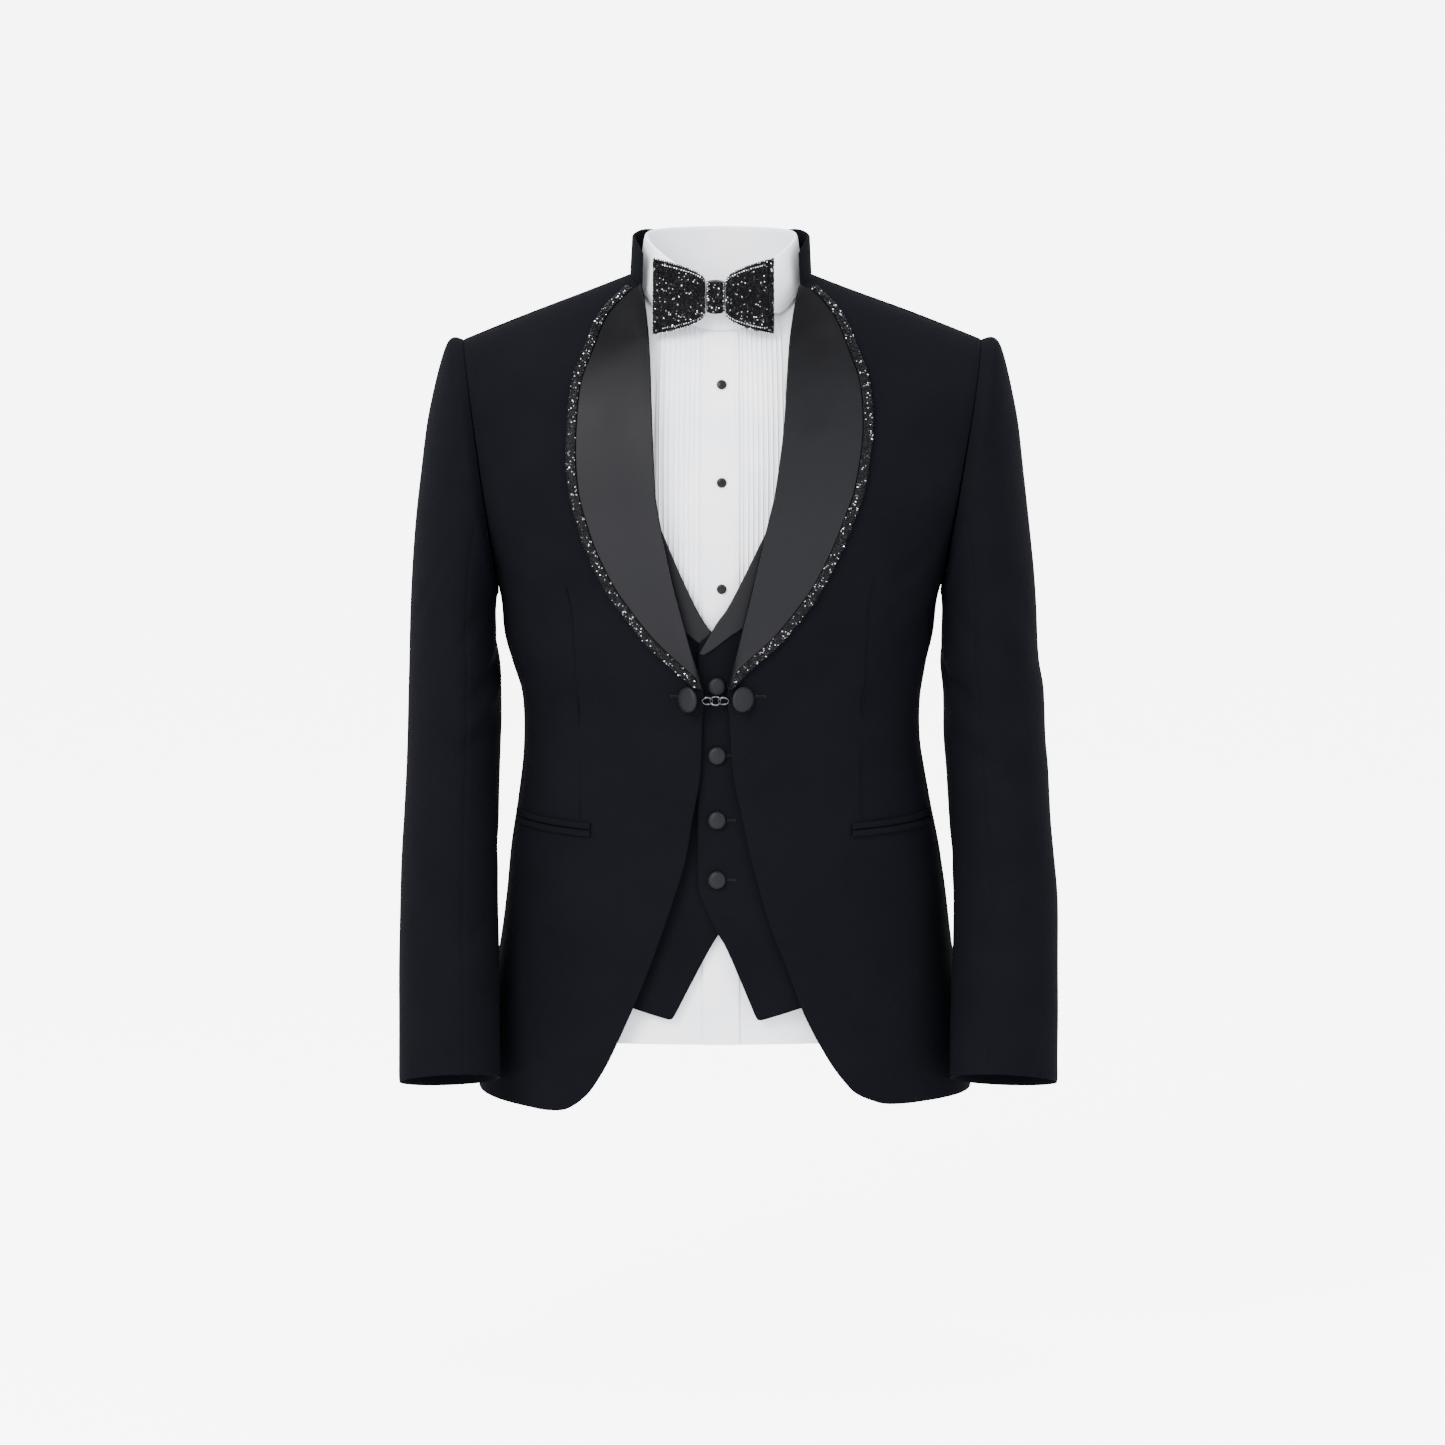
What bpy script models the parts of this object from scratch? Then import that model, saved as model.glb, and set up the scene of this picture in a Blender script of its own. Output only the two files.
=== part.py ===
"""Evening jacket with shawl lapels, waistcoat, dress shirt and bow tie, worn and hollow.

Metres, +Z up. The front faces -Y and the wearer's left is +X. The origin lies at the base of the
neck, 42 mm below the point where the two shoulder lines would meet. Every body panel is a wall
on one form. A point of the form has a girth coordinate u, from 0 at the front centre through 1
at the side to 2 at the back centre, and a level: the height below the chest ring, and above it a
share of the round over the shoulder.
"""

import math

import bpy
from mathutils import Vector

# Driving dimensions of the form.
NECK_HEIGHT = 0.042
SHOULDER_SLOPE = 0.394
NECK_ROUND = 0.030
CHEST_RING = 0.17
SHOULDER_HALF = 0.2227
NECK_SEAM = {"x": 0.0775, "back": 0.0600, "front": 0.0880}
NECK_DEPTH = 0.1180
COLLAR_HEIGHT = 0.0410
COLLAR_GAP = 0.0008
FORM_POWER = 2.3
SEAM_GAP = 0.0004

# Walls: thickness of each cloth and how far its middle lies outside the jacket's.
JACKET_WALL, JACKET_LIFT = 0.0020, 0.0
VEST_WALL, VEST_LIFT, VEST_UNDER_LIFT = 0.0016, -0.0060, -0.0098
SHIRT_WALL, SHIRT_LIFT = 0.0012, -0.0172
LAPEL_WALL, LAPEL_LIFT = 0.0022, 0.0026
TRIM_WALL, TRIM_LIFT, TRIM_WIDTH = 0.0030, 0.0032, 0.0078
WELT_WALL, WELT_LIFT, WELT_HEIGHT = 0.0014, 0.0027, 0.0060

# The form at each level: half width, depth to the front and to the back, middle line.
FORM = [
    {"level": -0.7200, "half": 0.2120, "front": 0.122, "back": 0.128, "mid": 0.020},
    {"level": -0.6400, "half": 0.2050, "front": 0.121, "back": 0.125, "mid": 0.018},
    {"level": -0.5780, "half": 0.1930, "front": 0.120, "back": 0.119, "mid": 0.014},
    {"level": -0.5320, "half": 0.1868, "front": 0.118, "back": 0.113, "mid": 0.010},
    {"level": -0.4860, "half": 0.1820, "front": 0.115, "back": 0.106, "mid": 0.006},
    {"level": -0.4440, "half": 0.1755, "front": 0.112, "back": 0.101, "mid": 0.003},
    {"level": -0.4000, "half": 0.1705, "front": 0.110, "back": 0.098, "mid": 0.001},
    {"level": -0.3530, "half": 0.1715, "front": 0.111, "back": 0.099, "mid": 0.000},
    {"level": -0.3250, "half": 0.1798, "front": 0.114, "back": 0.103, "mid": 0.000},
    {"level": -0.3000, "half": 0.1868, "front": 0.118, "back": 0.107, "mid": 0.000},
    {"level": -0.2650, "half": 0.1905, "front": 0.122, "back": 0.112, "mid": 0.000},
    {"level": -0.2310, "half": 0.2020, "front": 0.125, "back": 0.115, "mid": 0.000},
    {"level": -0.1700, "half": 0.2330, "front": 0.125, "back": 0.116, "mid": 0.000},
    {"level": -0.0850, "half": 0.2620, "front": 0.121, "back": 0.114, "mid": 0.000},
    {"level": 0.0000, "half": 0.3000, "front": 0.115, "back": 0.110, "mid": 0.000},
]

# The wearer's left side stands further out than the right, or less far: by how much at each
# height. It starts at LEFT_START from the middle and is complete LEFT_SPAN further out.
LEFT_START, LEFT_SPAN = 0.110, 0.055
LEFT_SIDE = [
    {"z": 0.0000, "out": 0.0020},
    {"z": -0.1000, "out": 0.0020},
    {"z": -0.1400, "out": 0.0010},
    {"z": -0.1850, "out": 0.0000},
    {"z": -0.2350, "out": -0.0010},
    {"z": -0.2750, "out": -0.0028},
    {"z": -0.3050, "out": -0.0034},
    {"z": -0.3250, "out": -0.0024},
    {"z": -0.3450, "out": 0.0006},
    {"z": -0.3600, "out": 0.0012},
    {"z": -0.3920, "out": 0.0017},
    {"z": -0.4150, "out": 0.0034},
    {"z": -0.4600, "out": 0.0053},
    {"z": -0.4960, "out": 0.0071},
    {"z": -0.5300, "out": 0.0088},
    {"z": -0.6000, "out": 0.0080},
    {"z": -0.7200, "out": 0.0070},
]

# Front edge of the jacket from the collar seam down: the roll line, the link, the cutaway curve.
# left and right are the wearer's, as distances towards that side from the middle plane.
FRONT_EDGE = [
    {"z": 0.003, "right": 0.0675, "left": 0.0668},
    {"z": -0.040, "right": 0.0615, "left": 0.0585},
    {"z": -0.112, "right": 0.0585, "left": 0.0535},
    {"z": -0.180, "right": 0.0543, "left": 0.0432},
    {"z": -0.240, "right": 0.0421, "left": 0.0290},
    {"z": -0.290, "right": 0.0290, "left": 0.0170},
    {"z": -0.337, "right": 0.0155, "left": 0.0060},
    {"z": -0.366, "right": 0.0163, "left": 0.0077},
    {"z": -0.413, "right": 0.0181, "left": 0.0108},
    {"z": -0.451, "right": 0.0249, "left": 0.0190},
    {"z": -0.490, "right": 0.0318, "left": 0.0275},
    {"z": -0.541, "right": 0.0480, "left": 0.0420},
    {"z": -0.583, "right": 0.0628, "left": 0.0580},
    {"z": -0.625, "right": 0.0800, "left": 0.0735},
    {"z": -0.6632, "right": 0.0972, "left": 0.0937},
    {"z": -0.6864, "right": 0.1109, "left": 0.1109},
]
HEM = [
    {"x": 0.1195, "right": -0.6964, "left": -0.6938},
    {"x": 0.1290, "right": -0.7038, "left": -0.6987},
    {"x": 0.1385, "right": -0.7077, "left": -0.7021},
    {"x": 0.1540, "right": -0.7084, "left": -0.7028},
    {"x": 0.1720, "right": -0.7064, "left": -0.7022},
]
HEM_SIDE_Z = -0.7005
BACK_HEM = [(1.30, -0.6950), (1.45, -0.6870), (1.72, -0.6742), (2.00, -0.6722)]
LAPEL_EDGE = [
    {"z": 0.001, "right": 0.0805, "left": 0.0815},
    {"z": -0.020, "right": 0.1033, "left": 0.1030},
    {"z": -0.048, "right": 0.1166, "left": 0.1165},
    {"z": -0.075, "right": 0.1272, "left": 0.1260},
    {"z": -0.112, "right": 0.1311, "left": 0.1287},
    {"z": -0.148, "right": 0.1312, "left": 0.1250},
    {"z": -0.190, "right": 0.1235, "left": 0.1131},
    {"z": -0.223, "right": 0.1119, "left": 0.0995},
    {"z": -0.256, "right": 0.0949, "left": 0.0820},
    {"z": -0.292, "right": 0.0680, "left": 0.0545},
    {"z": -0.318, "right": 0.0420, "left": 0.0265},
    {"z": -0.334, "right": 0.0245, "left": 0.0115},
]

# Waistcoat: neckline, and the lower edge from the notch over the point to the side.
VEST_NECK = [
    {"z": 0.004, "right": 0.0800, "left": 0.0800},
    {"z": -0.060, "right": 0.0790, "left": 0.0780},
    {"z": -0.130, "right": 0.0700, "left": 0.0650},
    {"z": -0.190, "right": 0.0555, "left": 0.0440},
    {"z": -0.245, "right": 0.0322, "left": 0.0170},
    {"z": -0.288, "right": 0.0086, "left": -0.0086},
]
VEST_LAP = 0.0200
VEST_NOTCH = {"z": -0.552, "right": 0.0020, "left": -0.0020}
VEST_POINT = {"z": -0.628, "right": 0.0430, "left": 0.0318}
VEST_SIDE_Z = -0.568
VEST_BACK_Z = -0.520
VEST_BAND = {"foot": 0.0030, "full": 0.0230, "share": 0.20}
VEST_LAP_DROP = 0.0200
VEST_GAP = 0.0002
BAND_WALL = 0.0010
BAND_GAP = 0.0005
VEST_ARM = [
    {"z": -0.040, "x": 0.1500},
    {"z": -0.090, "x": 0.1460},
    {"z": -0.160, "x": 0.1480},
    {"z": -0.220, "x": 0.1620},
    {"z": -0.262, "x": 0.1800},
]
VEST_ARM_FOOT = -0.285
VEST_BACK_NECK = [(0.0800, 0.0105), (0.0600, 0.0085), (0.0300, 0.0080), (0.0001, 0.0080)]

# Shirt: straight hem, placket, pin tucks, and the row of the back where the yoke starts.
SHIRT_HEM = -0.6495
SHIRT_ARM_IN = 0.0190
SHIRT_SPLIT = 0.0004
YOKE_ROW = 9
PLACKET_HALF = 0.0160
PLACKET_LIFT = 0.0016
TUCKS = 9
TUCK_STEP = 0.0044
TUCK_RISE = 0.0007
TUCK_FOOT = -0.300

# Shirt collar by turn round the neck, 0 at the back: its top, and the lower edge of the leaf.
COLLAR_EDGE = [
    {"turn": 0, "top": 0.0500, "leaf": 0.0140},
    {"turn": 60, "top": 0.0490, "leaf": 0.0120},
    {"turn": 90, "top": 0.0460, "leaf": 0.0080},
    {"turn": 115, "top": 0.0390, "leaf": -0.0060},
    {"turn": 135, "top": 0.0300, "leaf": -0.0180},
    {"turn": 155, "top": 0.0190, "leaf": -0.0060},
    {"turn": 180, "top": 0.0120, "leaf": 0.0060},
]
STAND = {"x": 0.0635, "front": 0.0700, "back": 0.0470}
LEAF = {"x": 0.0655, "front": 0.0720, "back": 0.0490}
LEAF_FLARE = 0.0050
LEAF_SEAT = 0.0014

# Sleeve rings from the shoulder down: outer and inner side of each arm, how far the ring leans
# forward, its half depth, and the drop of its back edge below its front edge. The wearer's left
# sleeve stands further out than this by the splay, and the right one less far.
SLEEVE = [
    {"outX": 0.2378, "outZ": -0.049, "inX": 0.195, "inZ": -0.268, "fore": 0, "deep": 0.079, "drop": 0},
    {"outX": 0.2483, "outZ": -0.083, "inX": 0.196, "inZ": -0.275, "fore": 0, "deep": 0.08, "drop": 0},
    {"outX": 0.2573, "outZ": -0.140, "inX": 0.196, "inZ": -0.285, "fore": 0, "deep": 0.079, "drop": 0},
    {"outX": 0.2655, "outZ": -0.205, "inX": 0.196, "inZ": -0.300, "fore": 0, "deep": 0.076, "drop": 0},
    {"outX": 0.273, "outZ": -0.280, "inX": 0.193, "inZ": -0.325, "fore": 0.002, "deep": 0.071, "drop": 0.002},
    {"outX": 0.275, "outZ": -0.355, "inX": 0.192, "inZ": -0.370, "fore": 0.006, "deep": 0.066, "drop": 0.006},
    {"outX": 0.276, "outZ": -0.430, "inX": 0.193, "inZ": -0.430, "fore": 0.014, "deep": 0.062, "drop": 0.012},
    {"outX": 0.2797, "outZ": -0.510, "inX": 0.194, "inZ": -0.510, "fore": 0.03, "deep": 0.058, "drop": 0.02},
    {"outX": 0.281, "outZ": -0.600, "inX": 0.193, "inZ": -0.600, "fore": 0.052, "deep": 0.054, "drop": 0.024},
    {"outX": 0.281, "outZ": -0.684, "inX": 0.192, "inZ": -0.680, "fore": 0.074, "deep": 0.051, "drop": 0.025},
]
SPLAY = [
    {"outZ": -0.049, "by": 0.0008},
    {"outZ": -0.083, "by": 0.0006},
    {"outZ": -0.140, "by": 0.0008},
    {"outZ": -0.205, "by": 0.0016},
    {"outZ": -0.280, "by": 0.0035},
    {"outZ": -0.355, "by": 0.0041},
    {"outZ": -0.430, "by": 0.0034},
    {"outZ": -0.510, "by": 0.0024},
    {"outZ": -0.600, "by": 0.0024},
    {"outZ": -0.684, "by": 0.0028},
]
SLEEVE_ROWS = 12
ARM_GAP = 0.0011
ARM_TOP, ARM_FOOT = -0.0457, -0.2650
FRONT_SEAM_ANGLE, BACK_SEAM_ANGLE = 150, 235
POCKET = {"z": -0.4505, "inX": 0.1120, "outX": 0.1745, "slope": 0.0045}

# Buttons, studs and the link.
VEST_BUTTONS = [-0.335, -0.395, -0.451, -0.503]
VEST_BUTTON_X = -0.0035
VEST_BUTTON_R = 0.0077
STUD_Z = [-0.071, -0.158, -0.252]
STUD_R = 0.0043
STUD_X, STUD_HIGH = 0.0006, 0.0028
LINK_Z = -0.3465
LINK_R = 0.0110
LINK_BUTTON = {"left": {"x": 0.0180, "turn": 0.60}, "right": {"x": 0.0272, "turn": 0.80}}
LINK_BUTTON_Z = -0.3440
BUTTON_HIGH = 0.0048
RING_WIRE, RING_TILT, RING_FORE, RING_END_GAP = 0.0008, 0.75, 0.0022, -0.0014

# Bow tie.
BOW_X, BOW_Z = -0.0047, -0.0013
BOW_HALF = {"left": 0.0503, "right": 0.0540}
BOW_END, BOW_WAIST, BOW_SPREAD = 0.0340, 0.0125, 0.44
BOW_WALL = 0.0080
BOW_Y, BOW_SWEEP = -0.0850, 0.0120
KNOT_HALF, KNOT_HIGH = 0.0080, 0.0142
KNOT_BACK, KNOT_DEEP = -0.0712, 0.0200


def clearScene():
    for thing in list(bpy.data.objects):
        bpy.data.objects.remove(thing, do_unlink=True)


def makeMaterial(name, colour, roughness, metallic=0.0):
    material = bpy.data.materials.new(name)
    material.use_nodes = True
    shader = material.node_tree.nodes["Principled BSDF"]
    shader.inputs["Base Color"].default_value = (*colour, 1.0)
    shader.inputs["Roughness"].default_value = roughness
    shader.inputs["Metallic"].default_value = metallic
    return material


def readTable(rows, key, column, at):
    """Catmull-Rom reading of a column at a value of the key, which rises or falls steadily."""
    ordered = sorted(rows, key=lambda row: row[key])
    keys = [row[key] for row in ordered]
    values = [row[column] for row in ordered]
    at = min(max(at, keys[0]), keys[-1])
    i = 0
    while i < len(keys) - 2 and at > keys[i + 1]:
        i += 1
    span = keys[i + 1] - keys[i]
    t = (at - keys[i]) / span

    def slope(j):
        low, high = max(j - 1, 0), min(j + 1, len(keys) - 1)
        return (values[high] - values[low]) / (keys[high] - keys[low])

    a, b = values[i], values[i + 1]
    ma, mb = slope(i) * span, slope(i + 1) * span
    return (
        (2 * t**3 - 3 * t**2 + 1) * a
        + (t**3 - 2 * t**2 + t) * ma
        + (3 * t**2 - 2 * t**3) * b
        + (t**3 - t**2) * mb
    )


def shoulderLine(x):
    """The shoulder's height, rounded off near the middle."""
    far = abs(x)
    if far < NECK_ROUND:
        far = (far**2 / NECK_ROUND + NECK_ROUND) / 2
    return NECK_HEIGHT - SHOULDER_SLOPE * far


def drawnOut(point):
    """The point as the garment's uneven sides have it."""
    t = min(max((point[0] - LEFT_START) / LEFT_SPAN, 0), 1)
    out = readTable(LEFT_SIDE, "z", "out", point[2]) if t > 0 else 0.0
    return (point[0] + out * t * t * (3 - 2 * t), point[1], point[2])


def formPoint(u, level):
    """The jacket's middle surface; a negative u, or one past 2, is the wearer's right."""
    if abs(u) > 2:
        u -= math.copysign(4.0, u)
    side = -1.0 if u < 0 else 1.0
    turn = abs(u) * math.pi / 2
    half = readTable(FORM, "level", "half", level)
    x = half * abs(math.sin(turn)) ** (2 / FORM_POWER)
    depth = readTable(FORM, "level", "front" if abs(u) <= 1 else "back", level)
    y = depth * abs(math.cos(turn)) ** (2 / FORM_POWER)
    y = -y if abs(u) <= 1 else y
    z = level
    if level > -CHEST_RING:
        tau = -level / CHEST_RING * math.pi / 2
        z = math.cos(tau) * (shoulderLine(x) + CHEST_RING) - CHEST_RING
        y *= math.sin(tau)
    return Vector((side * x, readTable(FORM, "level", "mid", level) + y, z))


def formNormal(u, level):
    step = 0.004
    across = formPoint(u + step, level) - formPoint(u - step, level)
    up = formPoint(u, level + step) - formPoint(u, level - step)
    normal = across.cross(up)
    return normal.normalized()


def lifted(u, level, lift):
    """A point moved out from the form."""
    return formPoint(u, level) + formNormal(u, level) * lift


def placeOf(x, z, back=False):
    """The u and level of the form's point at x and z."""
    level = z
    if z > -CHEST_RING:
        share = (z + CHEST_RING) / (shoulderLine(x) + CHEST_RING)
        level = -CHEST_RING * math.acos(min(share, 1.0)) / (math.pi / 2)
    half = readTable(FORM, "level", "half", level)
    sine = min(abs(x) / half, 1.0) ** (FORM_POWER / 2)
    u = math.asin(sine) / (math.pi / 2)
    if back:
        u = 2 - u
    return (math.copysign(u, x), level)


def armPlace(angle, inset=0.0):
    """The armhole seam in u and level: 0 at the shoulder, 90 at the front, 180 under the arm."""
    share = (1 - math.cos(math.radians(angle))) / 2
    z = ARM_TOP + (ARM_FOOT - inset * 0.6 - ARM_TOP) * share
    x = SHOULDER_HALF + (0.1905 - SHOULDER_HALF) * share - inset * (1 - share) - inset * 0.3
    if angle in (0, 360):
        u, level = placeOf(x, shoulderLine(x))
        return (u if angle == 0 else 2 - u, level)
    if angle == 180:
        return (1.0, z)
    u, level = placeOf(x, min(z, shoulderLine(x)), angle > 180)
    return (u, level)


def walk(points, count):
    """count + 1 points evenly spread by length along a line of (u, level) points."""
    scale = 0.19
    lengths = [0.0]
    for a, b in zip(points, points[1:]):
        lengths.append(lengths[-1] + math.hypot((b[0] - a[0]) * scale, b[1] - a[1]))
    result = []
    i = 0
    for k in range(count + 1):
        goal = lengths[-1] * k / count
        while i < len(points) - 2 and lengths[i + 1] < goal:
            i += 1
        span = lengths[i + 1] - lengths[i]
        t = 0 if span == 0 else (goal - lengths[i]) / span
        a, b = points[i], points[i + 1]
        result.append((a[0] + (b[0] - a[0]) * t, a[1] + (b[1] - a[1]) * t))
    return result


def smooth(points, steps=6):
    """Catmull-Rom points between the given ones."""
    result = []
    for i in range(len(points) - 1):
        p0 = points[max(i - 1, 0)]
        p1, p2 = points[i], points[i + 1]
        p3 = points[min(i + 2, len(points) - 1)]
        for k in range(steps):
            t = k / steps
            result.append(
                tuple(
                    0.5 * (2 * b + (c - a) * t)
                    + 0.5 * (2 * a - 5 * b + 4 * c - d) * t**2
                    + 0.5 * (3 * b - a - 3 * c + d) * t**3
                    for a, b, c, d in zip(p0, p1, p2, p3)
                )
            )
    result.append(tuple(points[-1]))
    return result


def tableLine(rows, column, side=1, back=False):
    """A table's edge as a smooth line of (u, level); side is 1 for the wearer's left."""
    return smooth([placeOf(side * row[column], row["z"], back) for row in rows])


def armLine(start, stop, inset=0.0, steps=10):
    return [armPlace(start + (stop - start) * k / steps, inset) for k in range(steps + 1)]


def sided(line, side):
    return [(side * abs(u), level) for u, level in line]


def evenly(line, count):
    """The line as it is when it has count + 1 points already, or spread anew."""
    return list(line) if len(line) == count + 1 else walk(line, count)


def patch(bottom, top, inner, outer, columns, rows):
    """A Coons patch in (u, level): rows from bottom to top, columns from inner to outer."""
    bottom, top = evenly(bottom, columns), evenly(top, columns)
    inner, outer = evenly(inner, rows), evenly(outer, rows)
    grid = []
    for j in range(rows + 1):
        t = j / rows
        row = []
        for i in range(columns + 1):
            s = i / columns
            row.append(
                tuple(
                    (1 - t) * bottom[i][k]
                    + t * top[i][k]
                    + (1 - s) * inner[j][k]
                    + s * outer[j][k]
                    - (1 - s) * (1 - t) * bottom[0][k]
                    - s * (1 - t) * bottom[-1][k]
                    - (1 - s) * t * top[0][k]
                    - s * t * top[-1][k]
                    for k in (0, 1)
                )
            )
        grid.append(row)
    return grid


def pulledIn(grid, gap=SEAM_GAP):
    """The grid with its rim drawn in by half a seam gap, in metres on the form."""
    def near(a, b):
        pa, pb = formPoint(*a), formPoint(*b)
        share = min(gap / max((pb - pa).length, 1e-6), 0.4)
        return tuple(a[k] + (b[k] - a[k]) * share for k in (0, 1))

    rows = [list(row) for row in grid]
    for row in rows:
        row[0] = near(row[0], row[1])
        row[-1] = near(row[-1], row[-2])
    rows[0] = [near(a, b) for a, b in zip(rows[0], rows[1])]
    rows[-1] = [near(a, b) for a, b in zip(rows[-1], rows[-2])]
    return rows


def addMesh(name, points, faces, material):
    mesh = bpy.data.meshes.new(name)
    mesh.from_pydata([drawnOut(p) for p in points], [], faces)
    mesh.update()
    mesh.materials.append(material)
    mesh.shade_smooth()
    mesh.set_sharp_from_angle(angle=math.radians(40))
    thing = bpy.data.objects.new(name, mesh)
    bpy.context.scene.collection.objects.link(thing)
    return thing


def facesOut(points, faces):
    """Turns all faces round when the closed shape has its faces pointing in."""
    volume = 0.0
    for face in faces:
        a = points[face[0]]
        for b, c in zip(face[1:], face[2:]):
            volume += a.dot(points[b].cross(points[c]))
    return faces if volume > 0 else [tuple(reversed(face)) for face in faces]


def addWall(name, outer, inner, material, closed=False):
    """A wall between two grids of points; closed joins each row's end to its start.

    Each cell is two triangles, split along its shorter diagonal and alike on both sides.
    """
    rows, columns = len(outer), len(outer[0])
    points = [p for row in outer for p in row] + [p for row in inner for p in row]
    offset = rows * columns
    faces = []
    spans = columns if closed else columns - 1
    for j in range(rows - 1):
        for i in range(spans):
            a, b = j * columns + i, j * columns + (i + 1) % columns
            c, d = b + columns, a + columns
            halves = [(a, b, d), (b, c, d)]
            if (points[a] - points[c]).length < (points[b] - points[d]).length:
                halves = [(a, b, c), (a, c, d)]
            faces += halves + [tuple(offset + k for k in reversed(half)) for half in halves]
    for i in range(spans):
        a, b = i, (i + 1) % columns
        faces.append((offset + a, offset + b, b, a))
        a, b = a + (rows - 1) * columns, b + (rows - 1) * columns
        faces.append((a, b, offset + b, offset + a))
    if not closed:
        for j in range(rows - 1):
            a, b = j * columns, (j + 1) * columns
            faces.append((a, b, offset + b, offset + a))
            a, b = a + columns - 1, b + columns - 1
            faces.append((offset + a, offset + b, b, a))
    return addMesh(name, points, facesOut(points, faces), material)


def addPanel(name, grid, lift, wall, material, gap=SEAM_GAP, rise=None):
    """A wall on the form; rise adds to the outer side at each grid place."""
    grid = pulledIn(grid, gap)
    outer, inner = [], []
    for j, row in enumerate(grid):
        extra = [rise(j, i, place) if rise else 0.0 for i, place in enumerate(row)]
        outer.append([lifted(u, level, lift + wall / 2 + e) for (u, level), e in zip(row, extra)])
        inner.append([lifted(u, level, lift - wall / 2) for u, level in row])
    return addWall(name, outer, inner, material)


def sideName(side):
    return "left" if side > 0 else "right"


def neckOnForm(turn, ring, lift):
    """Where a ring round the neck, seen from above, meets the form moved out by lift.

    The turn is in degrees: 0 at the back, 90 at the wearer's left, 180 at the front.
    """
    target = neckBand(turn, 0.0, ring)
    guess = target.copy()
    for _ in range(8):
        across = abs(guess.x) / FORM[-1]["half"]
        reach = NECK_DEPTH * (1 - across**FORM_POWER) ** (1 / FORM_POWER)
        share = math.sqrt(1 - min(abs(guess.y) / reach, 0.99) ** 2)
        z = share * (shoulderLine(guess.x) + CHEST_RING) - CHEST_RING
        place = placeOf(guess.x, z, guess.y > 0)
        point = lifted(*place, lift)
        guess.x += target.x - point.x
        guess.y += target.y - point.y
    return place, point


def neckBand(turn, high, ring, grow=0.0):
    """A point of a ring round the neck, grown outwards."""
    angle = math.radians(turn)
    deep = ring["back"] if math.cos(angle) > 0 else ring["front"]
    return Vector(((ring["x"] + grow) * math.sin(angle), (deep + grow) * math.cos(angle), high))


def neckPlace(turn, side, ring=NECK_SEAM, lift=0.0):
    u, level = neckOnForm(turn, ring, lift)[0]
    return (side * abs(u), level)


def buildJacketBody(cloth):
    frontSeam, backSeam = armPlace(FRONT_SEAM_ANGLE), armPlace(BACK_SEAM_ANGLE)
    frontHem, smoothSteps = 0.93, 6
    seamRows, armRows = 11, 8
    for side in (1, -1):
        name = sideName(side)
        low = (side * frontHem, HEM_SIDE_Z)
        sideTop = (side * frontSeam[0], frontSeam[1])
        sideLine = smooth([low, (side * 0.92, -0.55), (side * 0.905, -0.35), sideTop])
        edge = [placeOf(side * row[name], row["z"]) for row in FRONT_EDGE]
        edge += [placeOf(side * row["x"], row[name]) for row in HEM] + [low]
        edge = smooth(edge, smoothSteps)
        corner = (len(FRONT_EDGE) - 1) * smoothSteps
        hem = edge[corner:]
        shoulder = [placeOf(side * x, shoulderLine(x))[0] for x in (NECK_SEAM["x"], SHOULDER_HALF)]
        top = [(u, -0.0002) for u in shoulder]
        inner = edge[: corner + 1][::-1] + [top[0]]
        outer = walk(sideLine, seamRows) + walk(sided(armLine(FRONT_SEAM_ANGLE, 0), side), armRows)[1:]
        grid = patch(hem, top, inner, outer, 10, seamRows + armRows)
        addPanel(f"jacket_front_{name}", grid, JACKET_LIFT, JACKET_WALL, cloth)

        backHem = smooth([(side * u, level) for u, level in BACK_HEM])
        bottom = [low, backHem[0]]
        top = sided(armLine(FRONT_SEAM_ANGLE, BACK_SEAM_ANGLE), side)
        backLine = smooth([backHem[0], (side * 1.24, -0.45), (side * backSeam[0], backSeam[1])])
        grid = patch(bottom, top, walk(sideLine, seamRows), walk(backLine, seamRows), 4, seamRows)
        addPanel(f"jacket_side_{name}", grid, JACKET_LIFT, JACKET_WALL, cloth)

        neck = [neckPlace(turn, side) for turn in range(90, -1, -10)]
        neck = [(neck[0][0], -0.0002)] + neck[1:-1] + [(side * 2.0, neck[-1][1])]
        top = walk([(side * 2 - shoulder[1], -0.0002), neck[0]], 4) + walk(neck, 6)[1:]
        inner = walk(backLine, seamRows) + walk(sided(armLine(BACK_SEAM_ANGLE, 360), side), armRows)[1:]
        centre = [backHem[-1], (side * 2.0, neck[-1][1])]
        grid = patch(backHem, top, inner, centre, 10, seamRows + armRows)
        addPanel(f"jacket_back_{name}", grid, JACKET_LIFT, JACKET_WALL, cloth)


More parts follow.
